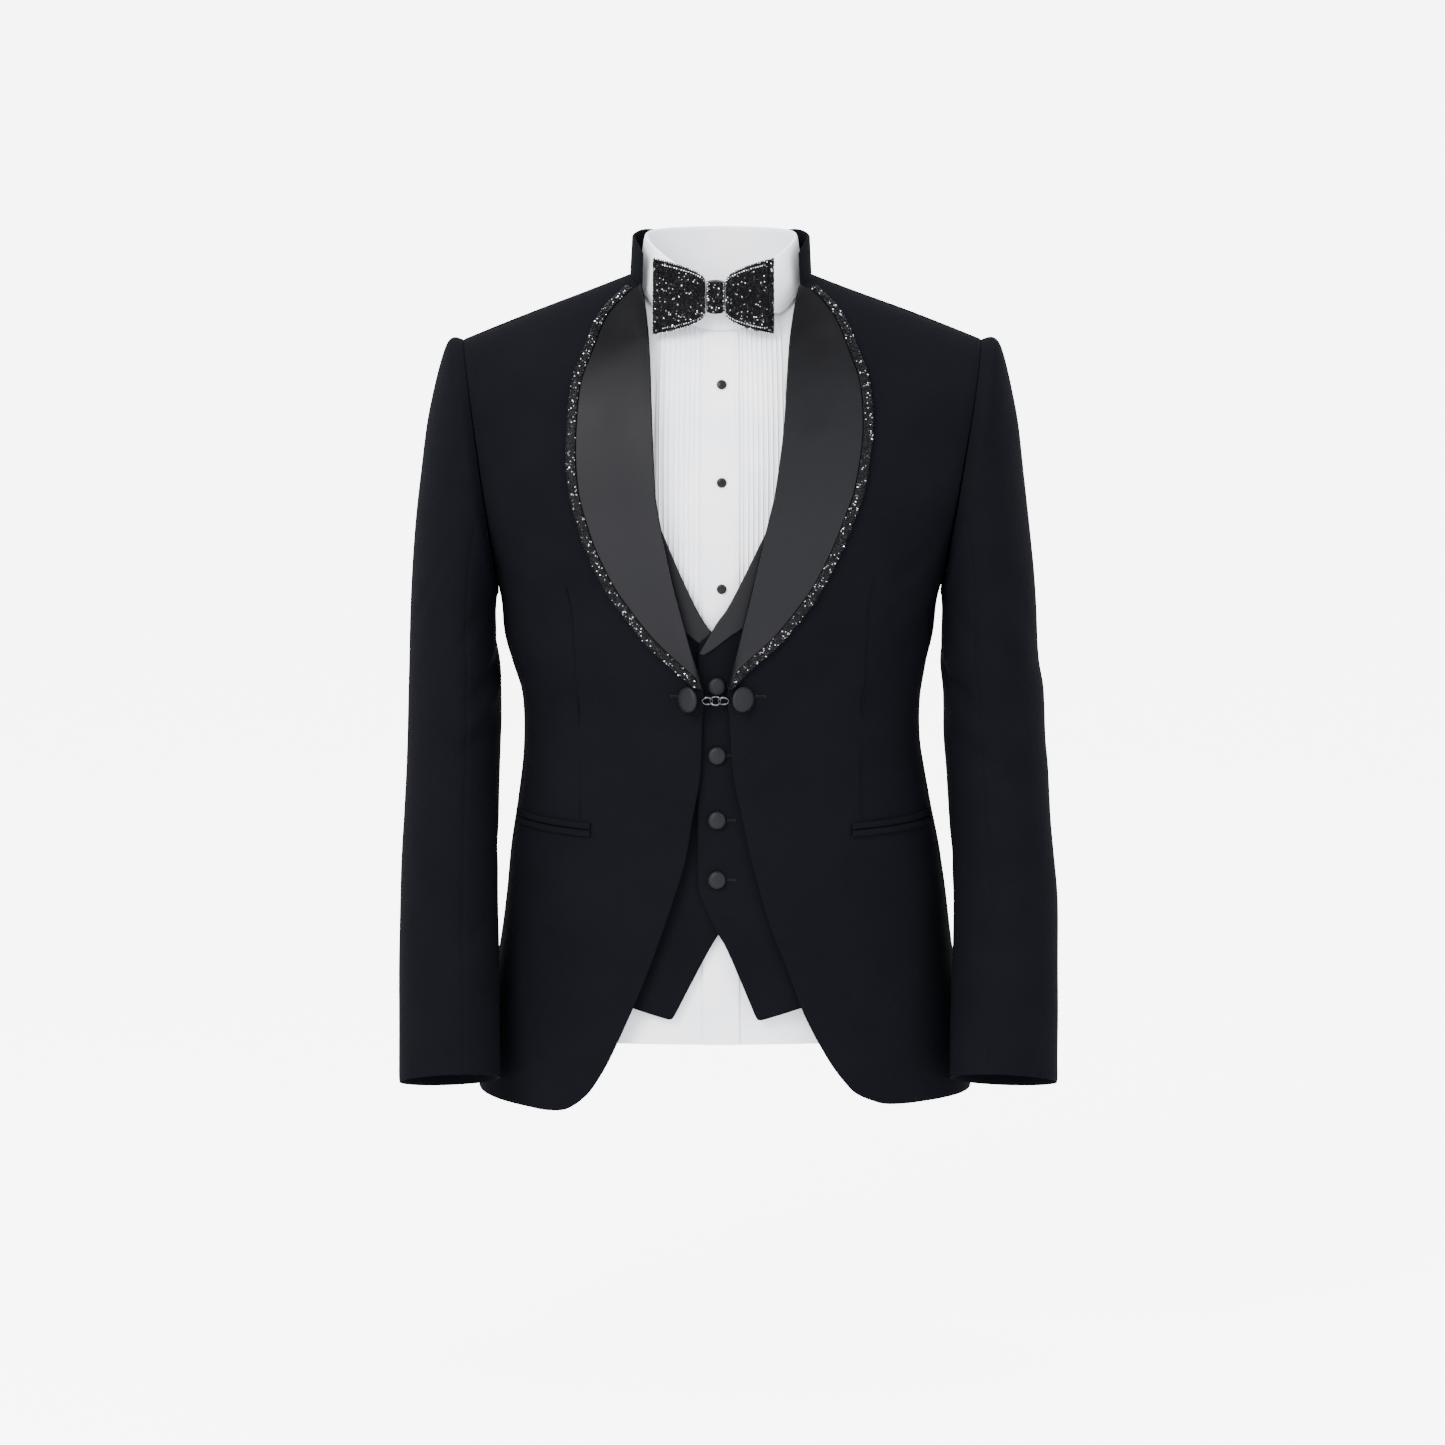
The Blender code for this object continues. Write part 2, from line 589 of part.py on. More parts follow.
def sleeveGrid(side, turns):
    """Rings of points from the armhole to the cuff; turn 0 is outside, 90 front, 180 inside."""
    first, last = SLEEVE[0]["outZ"], SLEEVE[-1]["outZ"]
    rows = []
    ring = []
    for turn in turns:
        seam = formPoint(*armPlace(turn))
        share = (1 - math.cos(math.radians(turn))) / 2
        ring.append(Vector((side * (seam.x + ARM_GAP + 0.0026 * share), seam.y, seam.z)))
    rows.append(ring)
    for k in range(SLEEVE_ROWS):
        at = first + (last - first) * k / (SLEEVE_ROWS - 1)
        read = {column: readTable(SLEEVE, "outZ", column, at) for column in SLEEVE[0] if column != "outZ"}
        outX = read["outX"] + side * readTable(SPLAY, "outZ", "by", at)
        ring = []
        for turn in turns:
            angle = math.radians(turn)
            x = (outX + read["inX"]) / 2 + (outX - read["inX"]) / 2 * math.cos(angle)
            z = (at + read["inZ"]) / 2 + (at - read["inZ"]) / 2 * math.cos(angle)
            z += read["drop"] / 2 * math.sin(angle)
            ring.append(Vector((side * x, -read["fore"] - read["deep"] * math.sin(angle), z)))
        rows.append(ring)
    return rows


def gridNormals(grid, closed, outward):
    """Normals of a grid of points, pointing with outward, a function of the point."""
    rows, columns = len(grid), len(grid[0])
    normals = []
    for j in range(rows):
        line = []
        for i in range(columns):
            if closed:
                a, b = grid[j][(i - 1) % columns], grid[j][(i + 1) % columns]
            else:
                a, b = grid[j][max(i - 1, 0)], grid[j][min(i + 1, columns - 1)]
            c, d = grid[max(j - 1, 0)][i], grid[min(j + 1, rows - 1)][i]
            normal = (b - a).cross(d - c).normalized()
            line.append(normal if normal.dot(outward(j, i)) > 0 else -normal)
        normals.append(line)
    return normals


def addSheet(name, grid, normals, wall, material, closed=False, lift=0.0):
    outer = [[p + n * (lift + wall / 2) for p, n in zip(a, b)] for a, b in zip(grid, normals)]
    inner = [[p + n * (lift - wall / 2) for p, n in zip(a, b)] for a, b in zip(grid, normals)]
    return addWall(name, outer, inner, material, closed)


def buildSleeves(cloth):
    steps = 20
    turns = [360 * i / steps for i in range(steps)]
    front, back = 6, 14
    for side in (1, -1):
        grid = sleeveGrid(side, turns)
        centres = [sum(ring, Vector()) / steps for ring in grid]
        normals = gridNormals(grid, True, lambda j, i: grid[j][i] - centres[j])
        upper = [i % steps for i in range(back, front + steps + 1)]
        under = list(range(front, back + 1))
        for part, picked in (("upper", upper), ("under", under)):
            rows = [[ring[i].copy() for i in picked] for ring in grid]
            for row in rows:
                row[0] += (row[1] - row[0]).normalized() * SEAM_GAP
                row[-1] += (row[-2] - row[-1]).normalized() * SEAM_GAP
            lines = [[line[i] for i in picked] for line in normals]
            addSheet(f"jacket_sleeve_{part}_{sideName(side)}", rows, lines, JACKET_WALL, cloth)


def buildJacketCollar(cloth):
    reach, steps, levels = 118, 24, 2
    grid = []
    for j in range(levels + 1):
        row = []
        for i in range(steps + 1):
            turn = -reach + 2 * reach * i / steps
            base = neckOnForm(turn, NECK_SEAM, 0.0)[1]
            end = max(abs(turn) - 88, 0) / (reach - 88)
            height = COLLAR_HEIGHT * (1 - 0.30 * end**3)
            lean = 1 - 0.02 * j / levels
            z = base.z + JACKET_WALL / 2 + COLLAR_GAP * (1 + end) + height * j / levels
            row.append(Vector((base.x * lean, base.y * lean, z)))
        grid.append(row)
    normals = gridNormals(grid, False, lambda j, i: Vector((grid[j][i].x, grid[j][i].y, 0)))
    addSheet("jacket_collar", grid, normals, JACKET_WALL, cloth)


def offsetLine(line, distances, side):
    """A line on the front moved across itself, towards the middle for positive distances."""
    points = [formPoint(*place) for place in line]
    result = []
    for i, place in enumerate(line):
        along = (points[min(i + 1, len(points) - 1)] - points[max(i - 1, 0)]).normalized()
        across = along.cross(formNormal(*place)) * side
        moved = points[i] + across * distances[i]
        result.append(placeOf(moved.x, moved.z))
    return result


def keptOff(line, roll, edge, share):
    """The line, held at least this share of the lapel's width away from the roll."""
    result = []
    for place, a, b in zip(line, roll, edge):
        least = tuple(a[k] + (b[k] - a[k]) * share for k in (0, 1))
        result.append(place if abs(place[0]) > abs(least[0]) else least)
    return result


def between(first, last, columns):
    """A grid of places evenly spread from one line to another."""
    return [
        [tuple(a[k] + (b[k] - a[k]) * i / columns for k in (0, 1)) for i in range(columns + 1)]
        for a, b in zip(first, last)
    ]


def buildLapels(satin, beads):
    rows = 20
    for side in (1, -1):
        name = sideName(side)
        roll = walk(tableLine([row for row in FRONT_EDGE if row["z"] > -0.338], name, side), rows)
        edge = walk(tableLine(LAPEL_EDGE, name, side), rows)
        beadStart = keptOff(offsetLine(edge, [TRIM_WIDTH] * len(edge), side), roll, edge, 0.40)
        satinEnd = offsetLine(beadStart, [2 * SEAM_GAP] * len(edge), side)
        soft = [0.0022, 0.0008, 0.0, 0.0, 0.0]
        grid = between(roll, satinEnd, len(soft) - 1)
        addPanel(f"lapel_{name}", grid, LAPEL_LIFT, LAPEL_WALL, satin, 0.0, lambda j, i, place: soft[i])
        crown = [0.0, 0.0009, 0.0009, 0.0]
        grid = between(beadStart, edge, len(crown) - 1)
        addPanel(f"lapel_beads_{name}", grid, TRIM_LIFT, TRIM_WALL, beads, 0.0, lambda j, i, place: crown[i])


def buildWelts(cloth):
    """Two narrow strips for each hip pocket, one above the other."""
    for side in (1, -1):
        for part, row in (("upper", 0), ("lower", 1)):
            z = POCKET["z"] - row * (WELT_HEIGHT + 0.0006)
            ends = []
            for edge in (z - WELT_HEIGHT, z):
                line = [(POCKET["inX"], edge - POCKET["slope"]), (POCKET["outX"], edge)]
                ends.append([placeOf(side * x, height) for x, height in line])
            grid = patch(ends[0], ends[1], [ends[0][0], ends[1][0]], [ends[0][1], ends[1][1]], 5, 1)
            addPanel(f"pocket_welt_{part}_{sideName(side)}", grid, WELT_LIFT, WELT_WALL, cloth, 0.0001)


def addTurned(name, profile, steps, centre, axis, material):
    """A turned solid: profile rows are (radius, height) from the back's rim to the front's."""
    frame = axis.normalized().to_track_quat("Z", "Y")
    points = [centre + frame @ Vector((0, 0, profile[0][1]))]
    for radius, height in profile:
        for i in range(steps):
            angle = 2 * math.pi * i / steps
            rim = Vector((radius * math.cos(angle), radius * math.sin(angle), height))
            points.append(centre + frame @ rim)
    points.append(centre + frame @ Vector((0, 0, profile[-1][1])))
    last = len(points) - 1
    faces = []
    for i in range(steps):
        n = (i + 1) % steps
        faces.append((0, 1 + n, 1 + i))
        faces.append((last, last - steps + i, last - steps + n))
        for j in range(len(profile) - 1):
            a, b = 1 + j * steps + i, 1 + j * steps + n
            faces.append((a, b, b + steps, a + steps))
    return addMesh(name, points, facesOut(points, faces), material)


def coveredButton(radius, high):
    return [(radius * 0.82, 0), (radius * 0.99, high * 0.28), (radius * 0.93, high * 0.62),
            (radius * 0.66, high * 0.90), (radius * 0.30, high)]


def buildButtons(satin, black, steel):
    for k, z in enumerate(VEST_BUTTONS):
        u, level = placeOf(VEST_BUTTON_X, z)
        normal = formNormal(u, level)
        centre = lifted(u, level, VEST_LIFT + VEST_WALL / 2 + 0.0004)
        profile = coveredButton(VEST_BUTTON_R, BUTTON_HIGH)
        addTurned(f"waistcoat_button_{k + 1}", profile, 14, centre, normal, satin)
    for k, z in enumerate(STUD_Z):
        u, level = placeOf(STUD_X, z)
        centre = lifted(u, level, SHIRT_LIFT + PLACKET_LIFT + SHIRT_WALL / 2 + 0.0003)
        profile = coveredButton(STUD_R, STUD_HIGH)
        addTurned(f"shirt_stud_{k + 1}", profile, 12, centre, formNormal(u, level), black)
    for side in (1, -1):
        row = LINK_BUTTON[sideName(side)]
        u, level = placeOf(side * row["x"], LINK_BUTTON_Z)
        normal = formNormal(u, level)
        turned = Vector((side * math.sin(row["turn"]), -math.cos(row["turn"]), 0))
        rise = LINK_R * 0.82 * math.sin(row["turn"])
        centre = lifted(u, level, JACKET_WALL / 2 + 0.0004) + normal * rise
        profile = coveredButton(LINK_R, BUTTON_HIGH)
        addTurned(f"link_button_{sideName(side)}", profile, 16, centre, turned, satin)
    linkRow = FRONT_EDGE[6]
    ends = [formPoint(*placeOf(x, LINK_Z)) for x in (-linkRow["right"], linkRow["left"])]
    span = ends[1].x - ends[0].x - 2 * RING_END_GAP
    ring = (span + RING_WIRE * 2.8) / 6
    reach = span / 2 - ring - RING_WIRE
    for name, away, tilt in (("right", -1, RING_TILT), ("middle", 0, -RING_TILT), ("left", 1, RING_TILT)):
        middle = (ends[0] + ends[1]) / 2
        centre = Vector((middle.x + away * reach, middle.y - RING_FORE, LINK_Z))
        addRing(f"link_ring_{name}", ring, RING_WIRE, centre, tilt, steel)


def addRing(name, radius, wire, centre, tilt, material):
    """A wire ring that faces the front, tilted about the X axis."""
    around, about = 14, 5
    points, faces = [], []
    for i in range(around):
        turn = 2 * math.pi * i / around
        for j in range(about):
            roll = 2 * math.pi * j / about
            reach = radius + wire * math.cos(roll)
            p = Vector((reach * math.cos(turn), wire * math.sin(roll), reach * math.sin(turn)))
            y = p.y * math.cos(tilt) - p.z * math.sin(tilt)
            z = p.y * math.sin(tilt) + p.z * math.cos(tilt)
            points.append(centre + Vector((p.x, y, z)))
            a, b = i * about + j, i * about + (j + 1) % about
            faces.append((a, b, (b + about) % (around * about), (a + about) % (around * about)))
    return addMesh(name, points, facesOut(points, faces), material)


def ownLine(rows, side):
    """Rows of (own side distance, z), where a negative distance lies past the middle."""
    return smooth([placeOf(side * x, z) for x, z in rows], 4)


def vestArm(side, back=False):
    line = [placeOf(side * row["x"], row["z"], back) for row in VEST_ARM]
    foot = (side * 1.0, VEST_ARM_FOOT)
    top = VEST_ARM[0]["x"]
    return smooth([foot] + line[::-1] + [(placeOf(side * top, shoulderLine(top), back)[0], -0.0004)], 4)


def buildWaistcoat(cloth, satin):
    for side in (1, -1):
        name = sideName(side)
        lift = VEST_LIFT if side > 0 else VEST_UNDER_LIFT
        neck = [(row[name], row["z"]) for row in VEST_NECK]
        notch, point = VEST_NOTCH, VEST_POINT
        lapZ = (VEST_NECK[-1]["z"] - VEST_LAP_DROP, -0.42, notch["z"] + 0.040)
        edge = neck + [(-VEST_LAP, z) for z in lapZ]
        corner = [(notch[name], notch["z"]), (point[name], point["z"])]
        inner = walk(ownLine(edge, side) + ownLine(corner, side), 18)[::-1]
        foot = (side * 1.0, VEST_SIDE_Z)
        bottom = ownLine([corner[1], (point[name] + 0.040, point["z"] + 0.012)], side) + [foot]
        shoulder = [placeOf(side * x, shoulderLine(x))[0] for x in (neck[0][0], VEST_ARM[0]["x"])]
        outer = walk([foot, (side * 1.0, VEST_ARM_FOOT)], 10) + walk(vestArm(side), 8)[1:]
        top = [(u, -0.0004) for u in shoulder]
        inner[-1] = top[0]
        grid = patch(bottom, top, inner, outer, 10, 18)
        addPanel(f"waistcoat_front_{name}", grid, lift, VEST_WALL, cloth, VEST_GAP)

        bandFoot = (-VEST_LAP * 0.94, lapZ[0] + 0.0015)
        bandRows, grow = 14, VEST_BAND["full"] - VEST_BAND["foot"]
        edgeLine = walk(ownLine(neck[1:] + [bandFoot], side), bandRows)
        shares = [min((1 - k / bandRows) / VEST_BAND["share"], 1) for k in range(bandRows + 1)]
        wide = offsetLine(edgeLine, [-VEST_BAND["foot"] - grow * share**0.8 for share in shares], side)
        band = lift + VEST_WALL / 2 + BAND_WALL / 2 + BAND_GAP
        addPanel(f"waistcoat_collar_{name}", between(edgeLine, wide, 2), band, BAND_WALL, satin, VEST_GAP)

    bottom = [(1.0, VEST_SIDE_Z), (2.0, VEST_BACK_Z), (3.0, VEST_SIDE_Z)]
    neck = [placeOf(x, z, True) for x, z in VEST_BACK_NECK]
    leftArm = vestArm(1, True)
    topLine = [leftArm[-1], (neck[0][0], -0.0004)] + neck[1:] + [(2.0, neck[-1][1])]
    topLine += [(4 - u, level) for u, level in reversed(topLine[:-1])]
    left = walk([(1.0, VEST_SIDE_Z), (1.0, VEST_ARM_FOOT)], 6) + walk(leftArm, 8)[1:]
    right = [(4 - u, level) for u, level in left]
    grid = patch(bottom, topLine, left, right, 12, 14)
    for name, first in (("left", 0), ("right", 6)):
        half = [row[first : first + 7] for row in grid]
        addPanel(f"waistcoat_back_{name}", half, VEST_LIFT, VEST_WALL, cloth, VEST_GAP)


def shirtColumn(x, top, rows):
    """A straight run up the shirt front, its steps shorter towards the neck."""
    shares = [1 - (1 - j / rows) ** 1.3 for j in range(rows + 1)]
    return [placeOf(x, SHIRT_HEM + (top - SHIRT_HEM) * share) for share in shares]


def buildShirt(cotton):
    sideRows, armRows, tuckColumns = 6, 6, 2 * TUCKS + 1
    rows = sideRows + armRows
    neck = [neckPlace(turn, 1, STAND, SHIRT_LIFT) for turn in range(180, 90, -10)]
    neckRows = [{"x": formPoint(*place).x, "z": formPoint(*place).z} for place in neck]
    armFoot = armPlace(180, SHIRT_ARM_IN)[1]
    hem = [(u, SHIRT_HEM) for u in (0.45, 0.7, 1.0)]
    for side in (1, -1):
        xs = [SHIRT_SPLIT, PLACKET_HALF / 2, PLACKET_HALF - 0.0010]
        xs += [PLACKET_HALF + TUCK_STEP * (0.5 + i / 2) for i in range(tuckColumns)]
        columns = []
        for x in xs:
            columns.append(shirtColumn(side * x, readTable(neckRows, "x", "z", x), rows))
        inner = columns[-1]
        bottom = [inner[0]] + [(side * u, level) for u, level in hem]
        armTop = SHOULDER_HALF - 1.3 * SHIRT_ARM_IN
        left = [place for place in neck if place[0] > abs(inner[-1][0])]
        top = [inner[-1]] + sided(left, side)
        top += [(placeOf(side * x, shoulderLine(x))[0], -0.0004) for x in (STAND["x"], armTop)]
        arm = sided(armLine(180, 0, SHIRT_ARM_IN), side)
        outer = walk([(side * 1.0, SHIRT_HEM), (side * 1.0, armFoot)], sideRows) + walk(arm, armRows)[1:]
        outer[-1] = top[-1]
        rest = patch(bottom, top, inner, outer, 7, rows)
        grid = [[column[j] for column in columns[:-1]] + rest[j] for j in range(rows + 1)]

        def tuck(j, i, place):
            inTucks = 3 <= i < 3 + tuckColumns and i % 2 == 0
            return TUCK_RISE if inTucks and place[1] > TUCK_FOOT else 0.0

        addPanel(f"shirt_front_{sideName(side)}", grid, SHIRT_LIFT, SHIRT_WALL, cotton, SEAM_GAP, tuck)

    xs = [PLACKET_HALF * k for k in (-1, -0.5, 0, 0.5, 1)]
    strips = [shirtColumn(x or 0.0001, neckRows[0]["z"] - 0.001, rows) for x in xs]
    grid = [[strip[j] for strip in strips] for j in range(rows + 1)]
    addPanel("shirt_placket", grid, SHIRT_LIFT + PLACKET_LIFT, SHIRT_WALL, cotton)

    arm = armLine(180, 360, SHIRT_ARM_IN)
    neck = [neckPlace(turn, 1, STAND, SHIRT_LIFT) for turn in range(90, -1, -15)]
    neck[0] = (neck[0][0] if neck[0][0] > 1 else 2 - neck[0][0], -0.0004)
    top = [arm[-1], neck[0]] + neck[1:-1] + [(2.0, neck[-1][1])]
    top += [(4 - u, level) for u, level in reversed(top[:-1])]
    left = walk([(1.0, SHIRT_HEM), (1.0, armFoot)], sideRows) + walk(arm, armRows)[1:]
    left[-1] = top[0]
    right = [(4 - u, level) for u, level in left]
    bottom = [(1.0, SHIRT_HEM), (2.0, SHIRT_HEM), (3.0, SHIRT_HEM)]
    grid = patch(bottom, top, left, right, 14, rows)
    addPanel("shirt_back", grid[: YOKE_ROW + 1], SHIRT_LIFT, SHIRT_WALL, cotton)
    addPanel("shirt_yoke", grid[YOKE_ROW:], SHIRT_LIFT, SHIRT_WALL, cotton)


def buildShirtCollar(cotton):
    steps = 30
    reach = 178.5
    stand, leaf = [], []
    for j in range(2):
        row = []
        for i in range(steps + 1):
            turn = -reach + 2 * reach * i / steps
            low = neckOnForm(turn, STAND, SHIRT_LIFT)[1].z + SHIRT_WALL / 2 + 0.0006
            top = readTable(COLLAR_EDGE, "turn", "top", abs(turn)) - 0.001
            row.append(neckBand(turn, low + (top - low) * j, STAND))
        stand.append(row)
    reach, levels = 166, 2
    flared = {key: size + LEAF_FLARE for key, size in LEAF.items()}
    for j in range(levels + 1):
        row = []
        for i in range(steps + 1):
            turn = -reach + 2 * reach * i / steps
            seat = neckOnForm(turn, flared, SHIRT_LIFT)[1].z + SHIRT_WALL / 2 + LEAF_SEAT
            low = max(readTable(COLLAR_EDGE, "turn", "leaf", abs(turn)), seat)
            top = readTable(COLLAR_EDGE, "turn", "top", abs(turn))
            share = j / levels
            row.append(neckBand(turn, low + (top - low) * share, LEAF, LEAF_FLARE * (1 - share)))
        leaf.append(row)
    for name, grid in (("shirt_collar_stand", stand), ("shirt_collar_leaf", leaf)):
        normals = gridNormals(grid, False, lambda j, i: Vector((grid[j][i].x, grid[j][i].y, 0)))
        addSheet(name, grid, normals, SHIRT_WALL, cotton)


def buildBow(beads):
    """Two padded wings that widen from the knot, and the knot."""
    columns, rows = 8, 6
    for side in (1, -1):
        reach = BOW_HALF[sideName(side)]
        outer, inner = [], []
        for j in range(rows + 1):
            t = -1 + 2 * j / rows
            front, back = [], []
            for i in range(columns + 1):
                s = i / columns
                x = BOW_X + side * (KNOT_HALF + 0.0004 + (reach - KNOT_HALF) * s)
                half = BOW_WAIST + (BOW_END - BOW_WAIST) * s**BOW_SPREAD
                y = BOW_Y + BOW_SWEEP * s * s
                thick = BOW_WALL * (0.35 + 0.65 * math.sqrt(max(1 - t * t * 0.9, 0))) * (1 - 0.35 * s)
                front.append(Vector((x, y - thick / 2, BOW_Z + half * t)))
                back.append(Vector((x, y + thick / 2, BOW_Z + half * t)))
            outer.append(front)
            inner.append(back)
        addWall(f"bow_wing_{sideName(side)}", outer, inner, beads)
    outer, inner = [], []
    for j in range(5):
        t = -1 + j / 2
        front, back = [], []
        for i in range(7):
            s = -1 + i / 3
            thick = KNOT_DEEP * (0.55 + 0.45 * math.sqrt(max(1 - s * s, 0)))
            x = BOW_X + KNOT_HALF * s
            z = BOW_Z + KNOT_HIGH * t * (1 - 0.10 * s * s)
            front.append(Vector((x, KNOT_BACK - thick, z)))
            back.append(Vector((x, KNOT_BACK, z)))
        outer.append(front)
        inner.append(back)
    addWall("bow_knot", outer, inner, beads)


def main():
    clearScene()
    cloth = makeMaterial("jacket_wool", (0.011, 0.013, 0.018), 0.85)
    satin = makeMaterial("lapel_satin", (0.045, 0.045, 0.050), 0.35)
    beads = makeMaterial("glass_beads", (0.020, 0.020, 0.022), 0.20)
    black = makeMaterial("stud_enamel", (0.010, 0.010, 0.012), 0.25)
    steel = makeMaterial("link_steel", (0.300, 0.300, 0.310), 0.25, 1.0)
    cotton = makeMaterial("shirt_cotton", (0.900, 0.910, 0.930), 0.80)
    buildJacketBody(cloth)
    buildSleeves(cloth)
    buildJacketCollar(cloth)
    buildLapels(satin, beads)
    buildWelts(cloth)
    buildButtons(satin, black, steel)
    buildWaistcoat(cloth, satin)
    buildShirt(cotton)
    buildShirtCollar(cotton)
    buildBow(beads)


main()
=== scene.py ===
import math

import bpy
import numpy as np
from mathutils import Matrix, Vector


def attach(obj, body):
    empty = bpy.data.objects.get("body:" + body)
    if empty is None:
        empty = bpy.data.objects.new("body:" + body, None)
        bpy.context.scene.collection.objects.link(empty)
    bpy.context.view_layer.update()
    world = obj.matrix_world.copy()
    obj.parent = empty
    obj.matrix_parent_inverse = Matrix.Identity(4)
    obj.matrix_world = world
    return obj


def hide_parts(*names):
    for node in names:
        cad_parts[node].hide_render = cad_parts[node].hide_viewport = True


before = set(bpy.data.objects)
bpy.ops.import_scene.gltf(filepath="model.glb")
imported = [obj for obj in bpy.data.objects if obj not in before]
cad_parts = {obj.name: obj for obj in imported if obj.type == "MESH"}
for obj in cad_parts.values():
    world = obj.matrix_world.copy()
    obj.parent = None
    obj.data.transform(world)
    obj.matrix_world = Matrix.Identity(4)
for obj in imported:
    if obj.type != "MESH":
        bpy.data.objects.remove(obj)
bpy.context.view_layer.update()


def table(columns, rows):
    # rows of numbers under named columns
    return [dict(zip(columns.split(), row)) for row in rows]


# Metres, +Z up. The front faces -Y and the wearer's left is +X, as in the frame.
# Every body panel lies on one form: u goes round it, from 0 at the front centre through 1 at
# the side to 2 at the back centre, and level is the height, or over the chest ring a share of
# the round over the shoulder.
body = {
    "neckHeight": 0.042,
    "shoulderSlope": 0.394,
    "neckRound": 0.030,
    "chestRing": 0.17,
    "shoulderHalf": 0.2227,
    "neckX": 0.0775,
    "neckBack": 0.0600,
    "neckFront": 0.0880,
    "neckDepth": 0.1180,
    "power": 2.3,
    "seamGap": -0.00006,     # half of what stands between two panels: here they just meet
}
formRows = table("level half front back mid", [
    (-0.7200, 0.2120, 0.122, 0.128, 0.020),
    (-0.6400, 0.2050, 0.121, 0.125, 0.018),
    (-0.5780, 0.1930, 0.120, 0.119, 0.014),
    (-0.5320, 0.1868, 0.118, 0.113, 0.010),
    (-0.4860, 0.1820, 0.115, 0.106, 0.006),
    (-0.4440, 0.1755, 0.112, 0.101, 0.003),
    (-0.4000, 0.1705, 0.110, 0.098, 0.001),
    (-0.3530, 0.1715, 0.111, 0.099, 0.000),
    (-0.3250, 0.1798, 0.114, 0.103, 0.000),
    (-0.3000, 0.1868, 0.118, 0.107, 0.000),
    (-0.2650, 0.1905, 0.122, 0.112, 0.000),
    (-0.2310, 0.2020, 0.125, 0.115, 0.000),
    (-0.1700, 0.2330, 0.125, 0.116, 0.000),
    (-0.0850, 0.2620, 0.121, 0.114, 0.000),
    (0.0000, 0.3000, 0.115, 0.110, 0.000),
])
# The wearer's left side stands further out than the right, or less far, at each height.
leftSide = {"start": 0.110, "span": 0.055}
leftRows = table("z out", [
    (0.0000, 0.0020),
    (-0.1000, 0.0020),
    (-0.1400, 0.0010),
    (-0.1850, 0.0000),
    (-0.2350, -0.0010),
    (-0.2750, -0.0028),
    (-0.3050, -0.0034),
    (-0.3250, -0.0024),
    (-0.3450, 0.0006),
    (-0.3600, 0.0012),
    (-0.3920, 0.0017),
    (-0.4150, 0.0034),
    (-0.4600, 0.0053),
    (-0.4960, 0.0071),
    (-0.5300, 0.0088),
    (-0.6000, 0.0080),
    (-0.7200, 0.0070),
])


def readColumn(rows, key, column, at):
    # a smooth curve through a table's column, read at many values of its key at once
    ordered = sorted(rows, key=lambda row: row[key])
    keys = np.array([row[key] for row in ordered], float)
    values = np.array([row[column] for row in ordered], float)
    at = np.clip(np.asarray(at, float), keys[0], keys[-1])
    i = np.clip(np.searchsorted(keys, at, side="right") - 1, 0, len(keys) - 2)
    places = np.arange(len(keys))
    low, high = np.maximum(places - 1, 0), np.minimum(places + 1, len(keys) - 1)
    slopes = (values[high] - values[low]) / (keys[high] - keys[low])
    span = keys[i + 1] - keys[i]
    t = (at - keys[i]) / span
    start = (2 * t**3 - 3 * t**2 + 1) * values[i] + (t**3 - 2 * t**2 + t) * slopes[i] * span
    stop = (3 * t**2 - 2 * t**3) * values[i + 1] + (t**3 - t**2) * slopes[i + 1] * span
    return start + stop


def shoulderLine(x):
    # the shoulder's height, rounded off near the middle
    far, near = np.abs(x), body["neckRound"]
    far = np.where(far < near, (far**2 / near + near) / 2, far)
    return body["neckHeight"] - body["shoulderSlope"] * far


def drawnOut(points):
    # the points as the garment's uneven sides have them
    points = np.array(points, float)
    t = np.clip((points[..., 0] - leftSide["start"]) / leftSide["span"], 0, 1)
    points[..., 0] += readColumn(leftRows, "z", "out", points[..., 2]) * t * t * (3 - 2 * t)
    return points


def formPoints(u, level):
    u, level = np.broadcast_arrays(np.asarray(u, float), np.asarray(level, float))
    u = np.where(np.abs(u) > 2, u - 4 * np.sign(u), u)
    side = np.where(u < 0, -1.0, 1.0)
    turn = np.abs(u) * math.pi / 2
    inFront = np.abs(u) <= 1
    half = readColumn(formRows, "level", "half", level)
    front = -readColumn(formRows, "level", "front", level)
    back = readColumn(formRows, "level", "back", level)
    x = half * np.abs(np.sin(turn)) ** (2 / body["power"])
    y = np.where(inFront, front, back) * np.abs(np.cos(turn)) ** (2 / body["power"])
    ring = body["chestRing"]
    tau = -level / ring * math.pi / 2
    over = level > -ring
    z = np.where(over, np.cos(tau) * (shoulderLine(x) + ring) - ring, level)
    y = np.where(over, y * np.sin(tau), y)
    mid = readColumn(formRows, "level", "mid", level)
    return np.stack([side * x, mid + y, z], axis=-1)


def unit(vectors):
    return vectors / np.maximum(np.linalg.norm(vectors, axis=-1, keepdims=True), 1e-12)


def formNormals(u, level):
    step = 0.004
    across = formPoints(u + step, level) - formPoints(u - step, level)
    up = formPoints(u, level + step) - formPoints(u, level - step)
    return unit(np.cross(across, up))


def lifted(u, level, lift):
    return formPoints(u, level) + formNormals(u, level) * np.asarray(lift)[..., None]


